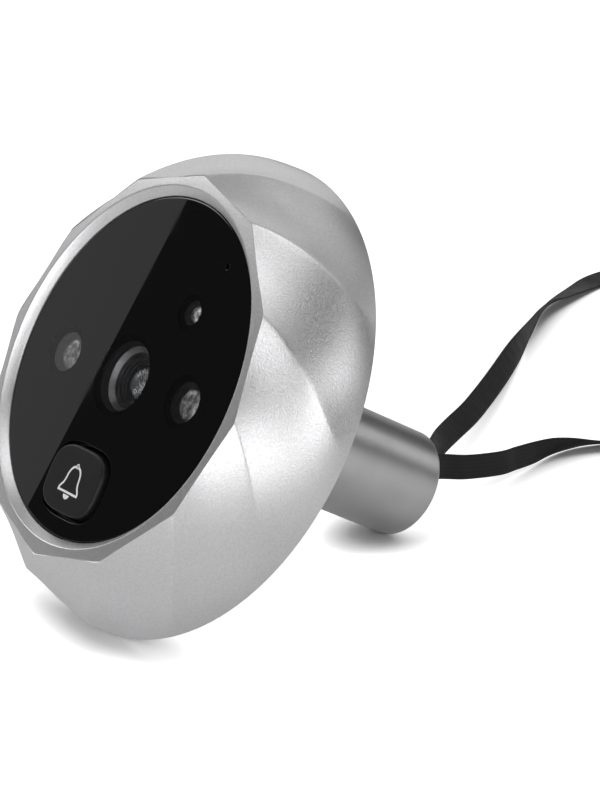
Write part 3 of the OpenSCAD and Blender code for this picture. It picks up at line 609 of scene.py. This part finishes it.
def fill_between(points, rings):
    """Flat faces between rings of point numbers, the first of them outermost."""
    index = [i for ring in rings for i in ring]
    ends = np.cumsum([0] + [len(ring) for ring in rings])
    loops = [list(range(a, b)) for a, b in zip(ends, ends[1:])]
    sides = [(loop[k], loop[(k + 1) % len(loop)]) for loop in loops for k in range(len(loop))]
    filled = delaunay_2d_cdt([Vector(points[i][:2]) for i in index], sides, loops, 2, 1e-6)
    return [tuple(index[filled[3][v][0]] for v in face) for face in filled[2]]


def pierced_plate(outline, holes, z_back, z_front, outer_edge, hole_edge):
    """Points and faces of a plate with holes, with its front and back edges rounded."""
    loops = [(outline, outer_edge)] + [(hole[::-1], hole_edge) for hole in holes]
    points, faces, caps = [], [], ([], [])
    for loop, edge in loops:
        first, count = len(points), len(loop)
        half_edge = [(edge * 1.7, 0), (edge, 0), (edge * 0.3, edge * 0.3), (0, edge)]
        levels = [(by, z_back + up) for by, up in half_edge]
        levels += [(by, z_front - down) for by, down in half_edge[::-1]]
        for by, z in levels:
            points += [(x, y, z) for x, y in inset(loop, by)]
        faces += ring_faces(count, len(levels), first)
        caps[0].append(list(range(first, first + count)))
        caps[1].append(list(range(first + (len(levels) - 1) * count, first + len(levels) * count)))
    for cap in caps:
        faces += fill_between(points, cap)
    return points, faces


button_hole = squircle(button_w + 2 * button_gap, button_h + 2 * button_gap, 96, button_at)
mic_hole = circle(mic_hole_r, 24, mic_hole_at)
points, faces = pierced_plate(circle(window_r, 160), [button_hole, mic_hole], z_print - print_contact,
                              z_glass, outer_edge=0.12, hole_edge=0.04)
make_piece("front_window_disc", lay(points), faces, clear_acrylic.material,
           stands_for=["front_window"])


def dress(node, finish):
    """Gives a CAD node that stays its finish."""
    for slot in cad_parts[node].material_slots:
        slot.material = finish.material


dress("window_mask", black_print)
tape_foam = Finish("tape_foam", (0.02, 0.02, 0.021), roughness=0.8)
tape_foam.mottle(0.3, 3, (0.014, 0.014, 0.015), (0.03, 0.03, 0.031))
tape_foam.bump(tape_foam.noise(0.2, 3), 0.03)
dress("window_tape", tape_foam)

# Chassis
# A moulded black plastic plate behind the window, screwed to the bezel from the back.
# It keeps the lens, the lamps and the button in place, and carries the board on four posts.
moulded_black = Finish("moulded_black", (0.018, 0.018, 0.019), roughness=0.5)
moulded_grain = moulded_black.noise(0.22, 3)
moulded_black.set("Roughness", moulded_black.spread(moulded_grain, 0.42, 0.6))
moulded_black.mottle(5, 3, (0.015, 0.015, 0.016), (0.022, 0.022, 0.023))
moulded_black.bump(moulded_grain, 0.012, 0.7)
dress("chassis", moulded_black)
dress("lens_holder", moulded_black)

# Lens
# A black turned barrel with a grey bevelled rim and stepped baffles, screwed into its holder on the board.
# The bulging front glass of a wide lens sits deep in it, coated, over the image sensor.
lens_r, lens_glass_r, thread_r = 4.2, 2.2, 3.5
z_holder, z_lens_rim, z_glass_seat, glass_t, glass_dome = 7.4, 9.35, 7.5, 0.6, 1.2
throat_r, z_throat, pupil_r = 3.4, 8.8, 2.0
turned_black = Finish("turned_black", (0.035, 0.035, 0.037), metallic=0.6, roughness=0.38)
turned_black.polish(0.15, 0.3, 0.46)
turned_black.mottle(1.2, 2, (0.03, 0.03, 0.032), (0.042, 0.042, 0.044))
turned_black.bump(turned_black.noise(0.1), 0.003, 0.5)


def turned(profile, steps, at=(0, 0)):
    """Points and faces of a closed profile of radius and height, turned about the face's axis."""
    points, faces, rows = [], [], []
    for r, z in profile:
        count = 1 if r < 1e-6 else steps
        rows.append(list(range(len(points), len(points) + count)))
        points += [(x, y, z) for x, y in (circle(r, steps, at) if count > 1 else [at])]
    for a, b in zip(rows, rows[1:] + rows[:1]):
        if len(a) == 1 and len(b) == 1:
            continue
        for i in range(steps):
            j = (i + 1) % steps
            faces.append(tuple(dict.fromkeys((a[i % len(a)], a[j % len(a)], b[j % len(b)], b[i % len(b)]))))
    return points, faces


baffle_count, z_baffle_end, lens_at = 4, z_glass_seat + 0.12, (0, -lens_drop)
baffles = []
for k in range(baffle_count):
    r = throat_r + (pupil_r - throat_r) * k / baffle_count
    z_top = z_throat + (z_baffle_end - z_throat) * k / baffle_count
    z_foot = z_throat + (z_baffle_end - z_throat) * (k + 1) / baffle_count
    baffles += [(r - 0.03, z_top - 0.03), (r - 0.06, z_foot + 0.04), (r - 0.1, z_foot)]
z_screwed = z_holder - 0.5
throat = [(lens_r - 0.14, z_lens_rim), (throat_r + 0.06, z_throat + 0.04), (throat_r, z_throat)]
lens_profile = throat + baffles + [
    (pupil_r, z_baffle_end), (pupil_r, z_glass_seat), (lens_glass_r, z_glass_seat),
    (lens_glass_r, z_screwed), (thread_r, z_screwed), (thread_r, z_holder), (lens_r, z_holder),
    (lens_r, z_lens_rim - 0.1), (lens_r - 0.03, z_lens_rim - 0.03), (lens_r - 0.1, z_lens_rim)]
points, faces = turned(lens_profile, 96, lens_at)
make_piece("lens_tube", lay(points), faces, turned_black.material,
           stands_for=["lens_barrel"], sharp=25)
bevel_grey = Finish("bevel_grey", (0.2, 0.2, 0.205), metallic=0.7, roughness=0.42)
bevel_grey.polish(0.12, 0.36, 0.5)
bevel_grey.mottle(0.7, 3, (0.17, 0.17, 0.175), (0.24, 0.24, 0.245))
bevel_lift = 0.015
bevel_profile = [(lens_r - 0.16, z_lens_rim + bevel_lift), (lens_r - 0.14, z_lens_rim - 0.1),
                 (throat_r + 0.1, z_throat - 0.02), (throat_r + 0.07, z_throat + 0.05 + bevel_lift)]
points, faces = turned(bevel_profile, 96, lens_at)
make_piece("lens_rim_bevel", lay(points), faces, bevel_grey.material)

coated_glass = Finish("coated_glass", (0.86, 0.86, 0.9), roughness=0.15, ior=1.9, transmission_weight=1.0)
glass_swirl = add_node(coated_glass.tree, "ShaderNodeTexWave", {
    "Vector": coated_glass.where, "Scale": 900.0, "Distortion": 5.0, "Detail": 3.0, "Detail Scale": 1.5},
    bands_direction="DIAGONAL").outputs["Fac"]
coated_glass.set("Roughness", coated_glass.spread(glass_swirl, 0.08, 0.28))
coated_glass.bump(glass_swirl, 0.02)
dome_r = (pupil_r ** 2 + glass_dome ** 2) / (2 * glass_dome)
dome_edge_r, glass_edge_r, z_glass_back = pupil_r - 0.05, lens_glass_r - 0.02, z_glass_seat - glass_t
glass_profile = [(0, z_glass_seat + glass_dome)]
for r in dome_edge_r * np.sin(np.radians(np.linspace(6, 89, 14))):
    glass_profile.append((r, z_glass_seat + glass_dome - dome_r + math.sqrt(dome_r ** 2 - r ** 2)))
glass_profile += [(dome_edge_r, z_glass_seat - 0.01), (glass_edge_r, z_glass_seat - 0.01),
                  (glass_edge_r, z_glass_back + 0.05), (lens_glass_r - 0.08, z_glass_back),
                  (0, z_glass_back)]
points, faces = turned(glass_profile, 64, lens_at)
make_piece("front_lens", lay(points), faces, coated_glass.material, stands_for=["lens_glass"])

sensor_face = Finish("sensor_face", (0.02, 0.045, 0.04), roughness=0.15, metallic=0.3)
sensor_face.mottle(1.0, 2, (0.014, 0.035, 0.03), (0.03, 0.055, 0.05))
sensor_face.polish(0.3, 0.1, 0.22)
dress("image_sensor", sensor_face)

# Lamps and light sensor
# Two infrared lamps of smoky resin and a small clear light sensor stand on the board behind clear spots.
# Each has a bright cup with its chip cast into a domed body, on two tinned legs.
z_seat, z_seat_top, z_leg_end, z_dome_top, fullness = 6.4, 7.0, 4.6, 10.0, 0.55
smoky_resin = Finish("smoky_resin", (0.2, 0.197, 0.2), metallic=0.7, roughness=0.15, coat_weight=0.6)
resin_lumps = smoky_resin.noise(0.6, 4)
smoky_resin.set("Roughness", smoky_resin.spread(resin_lumps, 0.08, 0.24))
smoky_resin.set("Base Color", smoky_resin.blend(resin_lumps, (0.04, 0.039, 0.04), (0.55, 0.54, 0.55)))
smoky_resin.bump(resin_lumps, 0.22)
clear_resin = Finish("clear_resin", (0.75, 0.75, 0.74), metallic=0.9, roughness=0.15, coat_weight=0.6)
foil_lumps = clear_resin.noise(0.8, 2)
clear_resin.set("Roughness", clear_resin.spread(foil_lumps, 0.08, 0.22))
clear_resin.set("Base Color", clear_resin.blend(foil_lumps, (0.2, 0.2, 0.2), (0.98, 0.98, 0.97)))
clear_resin.bump(foil_lumps, 0.6)
tinned = Finish("tinned", (0.72, 0.72, 0.71), metallic=1.0, roughness=0.28)
tinned.polish(0.3, 0.18, 0.4, 3)
tinned.bump(tinned.noise(0.5, 3), 0.03, 0.5)


def add_shape(points, faces, more_points, more_faces):
    faces += [tuple(i + len(points) for i in face) for face in more_faces]
    points += more_points


def domed_lamp(name, node, at, d, resin):
    r, foot_r, foot_edge = d / 2, d / 2 + 0.4, 0.08
    body = [(0, z_dome_top)]
    for a in np.radians(np.linspace(7, 90, 14)):
        body.append((r * math.sin(a) ** fullness, z_dome_top - r + r * max(math.cos(a), 0) ** fullness))
    body += [(r, z_seat_top), (foot_r - foot_edge, z_seat_top), (foot_r, z_seat_top - foot_edge),
             (foot_r, z_seat + 0.06), (foot_r - 0.06, z_seat), (0, z_seat)]
    points, faces = turned(body, 48, at)
    make_piece(f"{name}_resin", lay(points), faces, resin.material, stands_for=[node])
    cup_r, leg_r = d * 0.3, 0.2
    cup = [(0, z_seat + 0.75), (cup_r * 0.35, z_seat + 0.75), (cup_r * 0.4, z_seat + 0.62),
           (cup_r * 0.55, z_seat + 0.62), (cup_r * 0.92, z_seat + 1.0), (cup_r, z_seat + 1.0),
           (cup_r, z_seat + 0.2), (0, z_seat + 0.2)]
    leg_profile = [(0, z_seat + 0.3), (leg_r, z_seat + 0.3), (leg_r, z_leg_end), (0, z_leg_end)]
    points, faces = turned(cup, 32, at)
    for side in (-1, 1):
        add_shape(points, faces, *turned(leg_profile, 12, (at[0], at[1] + side * d / 4)))
    make_piece(f"{name}_cup", lay(points), faces, tinned.material)


lamp_d, light_d = 4.8, 2.6
domed_lamp("left_lamp", "lamp_left", (-lamp_x, -lens_drop), lamp_d, smoky_resin)
domed_lamp("right_lamp", "lamp_right", (lamp_x, -lens_drop), lamp_d, smoky_resin)
domed_lamp("light_sensor", "light_sensor", light_at, light_d, clear_resin)
dress("microphone", tinned)

# Bell button
# A black plastic cap with a soft-edged square face, which slides in the window on two ears.
# A stem on its back presses the key switch, and a plain bell sign is printed white on its face.
button_black = Finish("button_black", (0.007, 0.007, 0.0075), roughness=0.42, specular_ior_level=0.32)
button_grain = button_black.noise(0.18, 2)
button_black.set("Roughness", button_black.spread(button_grain, 0.36, 0.5))
button_black.mottle(2.5, 3, (0.006, 0.006, 0.0065), (0.0085, 0.0085, 0.009))
button_black.bump(button_grain, 0.004, 0.5)

z_ear, z_plunger, z_button = 9.0, 8.1, 12.0
ear_w, ear_h, ear_t, stem_r = 13.0, 5.0, 0.9, 1.6
cap_levels = [(0.05, z_ear), (0, z_ear + 0.05), (0, z_button - 0.36), (0.02, z_button - 0.24),
              (0.08, z_button - 0.13), (0.17, z_button - 0.05), (0.28, z_button - 0.01), (0.36, z_button),
              (0.5, z_button)]
outline = squircle(button_w, button_h, 112, button_at)
points = [(x, y, z) for by, z in cap_levels for x, y in inset(outline, by)]
count = len(outline)
faces = ring_faces(count, len(cap_levels))
faces += [tuple(range(count))[::-1], tuple(range(len(points) - count, len(points)))]
stem_profile = [(0, z_plunger), (stem_r - 0.1, z_plunger), (stem_r, z_plunger + 0.1), (stem_r, z_ear + 0.2),
                (0, z_ear + 0.2)]
add_shape(points, faces, *turned(stem_profile, 32, button_at))
ears = bmesh.new()
soft_block(ears, (ear_w, ear_h, ear_t), (*button_at, z_ear + ear_t / 2), 0.1)
ears.verts.index_update()
add_shape(points, faces, [tuple(v.co) for v in ears.verts], [[v.index for v in f.verts] for f in ears.faces])
ears.free()
make_piece("bell_cap", lay(points), faces, button_black.material, body="button",
           stands_for=["bell_button"], sharp=35)

white_print = Finish("white_print", (0.8, 0.8, 0.79), roughness=0.5)
white_print.mottle(0.2, 3, (0.84, 0.84, 0.83), (0.93, 0.93, 0.92))
white_print.polish(0.1, 0.42, 0.6)
sign_w, knob_w, sign_t, sign_sunk = 0.27, 0.16, 0.012, 0.02


def stroke(line, wide, z0, z1):
    """Points and faces of a raised line of that width, which ends where it starts."""
    line = np.array(line, float)
    ahead = np.roll(line, -1, 0) - line
    behind = line - np.roll(line, 1, 0)
    ahead /= np.linalg.norm(ahead, axis=1)[:, None]
    behind /= np.linalg.norm(behind, axis=1)[:, None]
    way = (ahead + behind) / np.linalg.norm(ahead + behind, axis=1)[:, None]
    reach = wide / 2 / np.maximum((way * ahead).sum(1), 0.5)
    off = np.stack([-way[:, 1], way[:, 0]], 1) * reach[:, None]
    count = len(line)
    edges = ((off, z0), (-off, z0), (-off, z1), (off, z1))
    points = [(x, y, z) for edge, z in edges for x, y in line + edge]
    faces = []
    for i in range(count):
        j = (i + 1) % count
        faces += [(a * count + i, a * count + j, b * count + j, b * count + i)
                  for a, b in ((0, 1), (1, 2), (2, 3), (3, 0))]
    return points, faces


def arc(wide, high, y, first, last, count, endpoint=True):
    """Points on an oval about the button's upright middle line."""
    angles = np.radians(np.linspace(first, last, count, endpoint=endpoint))
    return [(wide * math.cos(a), y + high * math.sin(a)) for a in angles]


bell_side = [(2.0, -16.13), (2.0, -15.9), (1.78, -15.55), (1.5, -15.2), (1.36, -14.85), (1.3, -14.5),
             (1.26, -14.15), (1.17, -13.8), (1.0, -13.45), (0.74, -13.16), (0.42, -13.0)]
bell = bell_side + [(-x, y) for x, y in bell_side[::-1]]
knob = arc(0.26, 0.24, -12.86, 0, 360, 16, endpoint=False)
clapper = arc(0.62, 0.56, -16.42, 180, 360, 15)
z_sign_low, z_sign_top = z_button - sign_sunk, z_button + sign_t
points, faces = [], []
for line, wide in ((bell, sign_w), (knob, knob_w)):
    add_shape(points, faces, *stroke(line, wide, z_sign_low, z_sign_top))
count = len(clapper)
clapper_points = [(x, y, z) for z in (z_sign_low, z_sign_top) for x, y in clapper]
clapper_ends = [tuple(range(count))[::-1], tuple(range(count, 2 * count))]
add_shape(points, faces, clapper_points, clapper_ends + ring_faces(count, 2))
make_piece("bell_sign", lay(points), faces, white_print.material, body="button")

# Key switch
# A square black key switch on the board, whose ivory plunger meets the button's stem.
# The plunger slides in with the button and springs back with it.
dress("key_switch", moulded_black)
dress("switch_plunger", ivory_nylon)

# Main board
# A round green board with copper tracks under its varnish, black chips and two ivory ribbon sockets behind.
# Four screws hold it on the chassis posts.
green_varnish = Finish("green_varnish", (0.02, 0.12, 0.06), roughness=0.3)
tracks = add_node(green_varnish.tree, "ShaderNodeTexVoronoi", {
    "Vector": green_varnish.where, "Scale": 700.0}, feature="DISTANCE_TO_EDGE").outputs["Distance"]
green_varnish.set("Base Color", green_varnish.blend(
    green_varnish.spread(tracks, 0.0, 1.0, 0.0, 0.12), (0.05, 0.2, 0.09), (0.012, 0.085, 0.045)))
green_varnish.bump(tracks, 0.02, 0.5)
dress("main_board", green_varnish)
chip_black = Finish("chip_black", (0.02, 0.02, 0.021), roughness=0.55)
chip_black.polish(0.2, 0.48, 0.65)
chip_black.bump(chip_black.noise(0.08), 0.006)
dress("board_chips", chip_black)
dress("ribbon_sockets", ivory_nylon)

# Rear cover
# A moulded plastic lid in the back of the bezel, with a fine spark texture, a groove for the gasket
# and sunk holes for its screws and for those of the barrel.
spark_black = Finish("spark_black", (0.024, 0.024, 0.025), roughness=0.56)
spark_grain = spark_black.noise(0.3, 4)
spark_black.set("Roughness", spark_black.spread(spark_grain, 0.48, 0.66))
spark_black.set("Base Color", spark_black.blend(spark_grain, (0.019, 0.019, 0.02), (0.03, 0.03, 0.031)))
spark_black.bump(spark_grain, 0.03, 0.8)

cover_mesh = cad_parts["rear_cover"].data.copy()
shell = bmesh.new()
shell.from_mesh(cover_mesh)
bmesh.ops.remove_doubles(shell, verts=shell.verts, dist=1e-6)
bmesh.ops.dissolve_limit(shell, angle_limit=math.radians(0.5), verts=shell.verts, edges=shell.edges)
cover_edges = [e for e in shell.edges if len(e.link_faces) == 2 and e.calc_face_angle() > math.radians(35)]
cover_edge = 0.00009
bmesh.ops.bevel(shell, geom=cover_edges, offset=cover_edge, segments=2, profile=0.5, affect="EDGES",
                clamp_overlap=True)
bmesh.ops.triangulate(shell, faces=[f for f in shell.faces if len(f.verts) > 4])
shell.to_mesh(cover_mesh)
shell.free()
place_piece("moulded_cover", cover_mesh, spark_black.material, stands_for=["rear_cover"])

# Door gasket
# A ring of closed-cell black foam, stuck in the cover's groove, which presses on the door.
# Its outer edges are rounded, as foam's are where it is cut.
gasket_r, gasket_hole_r, gasket_low, gasket_high = 20.5, 12.5, -0.6, 0.4
black_foam = Finish("black_foam", (0.02, 0.02, 0.021), roughness=0.9, specular_ior_level=0.25)
cells = add_node(black_foam.tree, "ShaderNodeTexVoronoi", {
    "Vector": black_foam.where, "Scale": 4200.0}).outputs["Distance"]
black_foam.set("Base Color", black_foam.blend(cells, (0.012, 0.012, 0.013), (0.034, 0.034, 0.036)))
black_foam.bump(cells, 0.06, 0.8)
black_foam.bump(black_foam.noise(3, 3), 0.08, 0.4)
gasket_edge, gasket_contact = 0.22, 0.02
corner = []
for a in np.radians((0, 22, 45, 68, 90)):
    corner.append((gasket_edge * (1 - math.sin(a)), gasket_edge * (1 - math.cos(a))))
gasket_profile = [(gasket_hole_r, gasket_high - gasket_contact), (gasket_r, gasket_high - gasket_contact)]
gasket_profile += [(gasket_r - dr, gasket_low + dz) for dz, dr in corner]
gasket_profile += [(gasket_hole_r + dr, gasket_low + dz) for dz, dr in corner[::-1]]
points, faces = turned(gasket_profile, 128)
gasket = make_piece("foam_gasket", lay(points), faces, black_foam.material,
                    stands_for=["door_gasket"])

# Barrel
# A tube turned from brass and plated satin, which passes through the door. A flange in the cover holds it.
# Its mouth is chamfered, and a thread inside takes the screen's clamp.
plated_tube = Finish("plated_tube", (0.66, 0.66, 0.67), metallic=1.0, roughness=0.34)
along_tube = plated_tube.placed(stretch=(0.4, 0.4, 14), turn=(lean - math.pi / 2, 0, 0))
tool_lines = plated_tube.noise(1.0, 3, along_tube)
plated_tube.set("Roughness", plated_tube.spread(tool_lines, 0.28, 0.4))
plated_tube.mottle(5, 3, (0.64, 0.64, 0.65), (0.69, 0.69, 0.695))
plated_tube.bump(tool_lines, 0.004, 0.5)
collar_r, flange_r, z_flange_top = 7.5, 11.5, 3.0
thread_len, thread_pitch, thread_depth, thread_lead = 11.0, 0.75, 0.36, 0.9
z_mouth, thread_step, thread_start = -barrel_len, 0.125, 0.6
thread_rows = np.arange(z_mouth + barrel_edge + 0.3, z_mouth + thread_lead + thread_len, thread_step)
bore_rows = np.concatenate([thread_rows, [z_mouth + thread_len + 1.5, -10.0, z_flange_top]])
tube_profile = [(barrel_bore_r, z) for z in bore_rows[::-1]] + [
    (barrel_bore_r, z_mouth + barrel_edge), (barrel_bore_r + 0.22, z_mouth + 0.04),
    (barrel_bore_r + 0.3, z_mouth), (barrel_r - 0.42, z_mouth), (barrel_r - 0.34, z_mouth + 0.01),
    (barrel_r - 0.25, z_mouth + 0.07), (barrel_r - 0.07, z_mouth + 0.24), (barrel_r - 0.02, z_mouth + 0.31),
    (barrel_r, z_mouth + 0.4), (barrel_r, z_mouth + 0.6), (barrel_r, -20.0), (barrel_r, 0.02),
    (collar_r - 0.08, 0.02), (collar_r, 0.1), (collar_r, cover_t), (flange_r, cover_t),
    (flange_r, z_flange_top)]
points, faces = turned(tube_profile, 96)
points = np.array(points, float)
tube_angle = np.arctan2(points[:, 1], points[:, 0])
from_mouth = points[:, 2] + barrel_len
wave = np.abs(((from_mouth / thread_pitch - tube_angle / (2 * math.pi)) % 1) * 2 - 1)
fade_in = np.clip((from_mouth - thread_start) / thread_lead, 0, 1)
fade = fade_in * np.clip((thread_len + thread_lead - from_mouth) / thread_lead, 0, 1)
in_bore = np.abs(np.hypot(points[:, 0], points[:, 1]) - barrel_bore_r) < 1e-6
grow_r = 1 + in_bore * wave * fade * thread_depth / barrel_bore_r
points[:, :2] *= grow_r[:, None]
make_piece("door_tube", lay(points), faces, plated_tube.material,
           stands_for=["barrel"], sharp=40)

# Screws
# Small steel screws with sunk heads and a cross recess. Three hold the cover on the bezel's bosses
# and three draw the cover against the barrel's flange. Pan-headed ones hold the chassis and the board.
bright_steel = Finish("bright_steel", (0.6, 0.6, 0.61), metallic=1.0, roughness=0.3)
bright_steel.polish(0.12, 0.22, 0.42)
bright_steel.mottle(0.8, 2, (0.55, 0.55, 0.56), (0.66, 0.66, 0.67))
bright_steel.bump(bright_steel.noise(0.08), 0.003)
screw_r, head_r, head_h, recess_l, recess_w, recess_t = 0.7, 1.4, 1.0, 0.85, 0.175, 0.5


def sunk_screw(name, length):
    """A hidden object that holds one screw, head outwards at the origin, in millimetres."""
    arm = [(recess_l, -recess_w), (recess_l, recess_w), (recess_w, recess_w)]
    cross = []
    for c, s in ((1, 0), (0, 1), (-1, 0), (0, -1)):
        cross += [(c * x - s * y, s * x + c * y) for x, y in arm]
    steps, arms, z_head = 40, len(cross), 0.02
    levels = [(head_r - 0.08, z_head), (head_r, 0.08), (screw_r, head_h), (screw_r, length - 0.3),
              (screw_r * 0.3, length)]
    points = [(x, y, z) for r, z in levels for x, y in circle(r, steps)]
    faces = ring_faces(steps, len(levels))
    faces.append(tuple(range((len(levels) - 1) * steps, len(levels) * steps)))
    first = len(points)
    points += [(x, y, z_head) for x, y in cross]
    points += [(x * 0.8, y * 0.8, recess_t) for x, y in cross] + [(0, 0, recess_t)]
    for i in range(arms):
        j = (i + 1) % arms
        faces += [(first + i, first + j, first + arms + j, first + arms + i),
                  (first + arms + i, first + arms + j, first + 2 * arms)]
    faces += fill_between(points, [range(steps), range(first, first + arms)])
    mesh = bpy.data.meshes.new(name)
    mesh.from_pydata(points, [], faces)
    shell = bmesh.new()
    shell.from_mesh(mesh)
    bmesh.ops.recalc_face_normals(shell, faces=shell.faces)
    shell.to_mesh(mesh)
    shell.free()
    return bpy.data.objects.new(name, mesh)


screw_ring, given, ring_out = new_tree("screw_ring", [
    ("Screw", "Object", None), ("Screws", "Int", 3), ("Radius", "Float", 20.0),
    ("First angle", "Float", 0.0)])
ring_spots = add_node(screw_ring, "GeometryNodeMeshCircle", {
    "Vertices": given["Screws"], "Radius": given["Radius"]}).outputs[0]
ring_angle = reckon_in(screw_ring, "RADIANS", given["First angle"])
ring_turn = add_node(screw_ring, "ShaderNodeCombineXYZ", {"Z": ring_angle}).outputs[0]
ring_placed = add_node(screw_ring, "GeometryNodeTransform", {
    "Geometry": ring_spots, "Rotation": ring_turn}).outputs[0]
one_screw = add_node(screw_ring, "GeometryNodeObjectInfo", {"Object": given["Screw"]}).outputs["Geometry"]
least_slant, most_slant, slant_seed = 0.0, 6.28, 4
slant = add_node(screw_ring, "FunctionNodeRandomValue", {
    2: least_slant, 3: most_slant, "Seed": slant_seed}, data_type="FLOAT").outputs[1]
slant_turn = add_node(screw_ring, "ShaderNodeCombineXYZ", {"Z": slant}).outputs[0]
screws_set = add_node(screw_ring, "GeometryNodeInstanceOnPoints", {
    "Points": ring_placed, "Instance": one_screw, "Rotation": slant_turn}).outputs[0]
end_tree(screw_ring, screws_set, bright_steel.material, ring_out)

for name, node, length, spread_r, first_angle in (
        ("lid_screws", "cover_screws", 4.2, cavity_r - 1.5, 90.0),
        ("tube_screws", "barrel_screws", 3.0, (collar_r + flange_r) / 2, 0.0)):
    pattern = sunk_screw(name + "_pattern", length)
    bpy.context.scene.collection.objects.link(pattern)
    mesh = grow(screw_ring, [("Screw", "Object", pattern), ("Screws", "Int", 3),
                             ("Radius", "Float", spread_r), ("First angle", "Float", first_angle)])
    bpy.data.objects.remove(pattern)
    mesh.transform(Matrix([[*row] for row in np.vstack([np.column_stack([
        lay_way(np.eye(3)).T / 1000, np.array([0, to_middle, lift]) / 1000]), [0, 0, 0, 1]])]))
    place_piece(name, mesh, bright_steel.material, stands_for=[node], sharp=35)
dress("chassis_screws", bright_steel)
dress("board_screws", bright_steel)

# Table and light
# A round white table in a light tent of soft boxes, one of which shows its edge in the window.
# The table and the room look white; the table keeps the lamps' shadows, and its glow is darkened by painted
# shade close around the unit.
table_r, table_tone, table_glow, contact_reach, table_sides = 0.5, 0.86, 0.9, 0.0045, 96
table_mirrored, room_mirrored = 0.05, 0.06
table_mesh = bpy.data.meshes.new("table")
table_mesh.from_pydata([(x, y, 0) for x, y in circle(table_r, table_sides)], [], [range(table_sides)])
white_sweep = Finish("white_sweep", (table_tone,) * 3, roughness=0.9, specular_ior_level=0.0)


def white_to_camera(tree, mirrored_share):
    """1 for what the camera sees, and a share of it for what metal and glass mirror."""
    rays = add_node(tree, "ShaderNodeLightPath").outputs
    mirrored = reckon_in(tree, "MAXIMUM", rays["Is Glossy Ray"], rays["Is Transmission Ray"])
    mirrored = reckon_in(tree, "MULTIPLY", mirrored, mirrored_share)
    return reckon_in(tree, "MAXIMUM", mirrored, rays["Is Camera Ray"])


# Painted shade: the table's glow fades by ambient occlusion within contact_reach of the unit, as a painted
# contact shadow.
painted_contact_shade = add_node(white_sweep.tree, "ShaderNodeAmbientOcclusion", {
    "Distance": contact_reach}).outputs["AO"]
painted_contact_shade = white_sweep.spread(painted_contact_shade, 0.0, table_glow, 0.35, 1.0)
table_seen = white_to_camera(white_sweep.tree, table_mirrored)
white_sweep.shader.inputs["Emission Color"].default_value = (1, 1, 1, 1)
white_sweep.set("Emission Strength", reckon_in(white_sweep.tree, "MULTIPLY", table_seen, painted_contact_shade))
table_mesh.materials.append(white_sweep.material)
table = bpy.data.objects.new("table", table_mesh)
bpy.context.scene.collection.objects.link(table)


def softbox(name, at, aim, width, height, power, up=(0, 0, 1)):
    light = bpy.data.lights.new(name, "AREA")
    light.shape, light.size, light.size_y, light.energy = "RECTANGLE", width, height, power
    lamp = bpy.data.objects.new(name, light)
    back = (Vector(at) - Vector(aim)).normalized()
    right = Vector(up).cross(back).normalized()
    axes = Matrix((right, back.cross(right), back)).transposed()
    lamp.matrix_world = Matrix.Translation(at) @ axes.to_4x4()
    lamp.visible_camera = False
    bpy.context.scene.collection.objects.link(lamp)


tent_r, tent_middle = 0.7, Vector((0, 0, 0.03))


def tent_box(name, round_angle, height_angle, width, power):
    """A soft box on the tent's wall, at an angle from the right side towards the back."""
    a, e = math.radians(round_angle), math.radians(height_angle)
    way = Vector((math.cos(a) * math.cos(e), math.sin(a) * math.cos(e), math.sin(e)))
    softbox(name, tent_middle + tent_r * way, tent_middle, width, width, power)


# The right box makes the bright streak on the bezel's side, and the back ones shape its upper facets
tent_box("right_box", 350, 10, 0.5, 1.5)
tent_box("back_right_box", 70, 55, 0.5, 0.4)
tent_box("back_left_box", 140, 30, 0.6, 0.8)

# The front box lights the table that the lower facets mirror, and the top box evens out the rest
tent_box("front_box", 285, 15, 0.6, 2.5)
tent_box("top_box", 0, 88, 0.4, 0.8)

# A low box behind on the right draws a streak along the barrel
tent_box("barrel_box", 75, 15, 0.3, 0.2)

# Two small boxes give the lamps their glints, and a third gives the ring its sheen
tent_box("right_spot", 20, 25, 0.2, 0.3)
tent_box("front_spot", 300, 45, 0.2, 0.3)
tent_box("left_spot", 195, 35, 0.25, 0.5)

# The left box is mirrored in the window, and its right edge shows along a line across the face
glare_low, glare_high, box_away = (-7, -18), (-2, 18), 0.45
face_way = Vector(lay_way((0, 0, 1)))


def mirrored_from(x, y):
    """The point that the camera sees mirrored at a place on the window."""
    spot = Vector(lay((x, y, z_glass)))
    return spot + (spot - photo_camera.matrix_world.translation).normalized().reflect(face_way) * box_away


edge_low, edge_high = mirrored_from(*glare_low), mirrored_from(*glare_high)
edge_middle, edge_way = (edge_low + edge_high) / 2, (edge_high - edge_low).normalized()
glare_way = (edge_middle - Vector(lay((0, 0, z_glass)))).normalized()
box_w, box_h, box_power = 0.4, 0.6, 0.32
box_at = edge_middle - edge_way.cross(glare_way).normalized() * box_w / 2
softbox("left_box", box_at, box_at - glare_way, box_w, box_h, box_power, up=edge_way)

room = bpy.data.worlds.new("room")
bpy.context.scene.world = room
room.use_nodes = True
room_tree = room.node_tree
room_seen = white_to_camera(room_tree, room_mirrored)
room_tree.links.new(room_seen, room_tree.nodes["Background"].inputs["Strength"])
room_tree.nodes["Background"].inputs["Color"].default_value = (1, 1, 1, 1)

bpy.context.scene.view_settings.view_transform = "Standard"
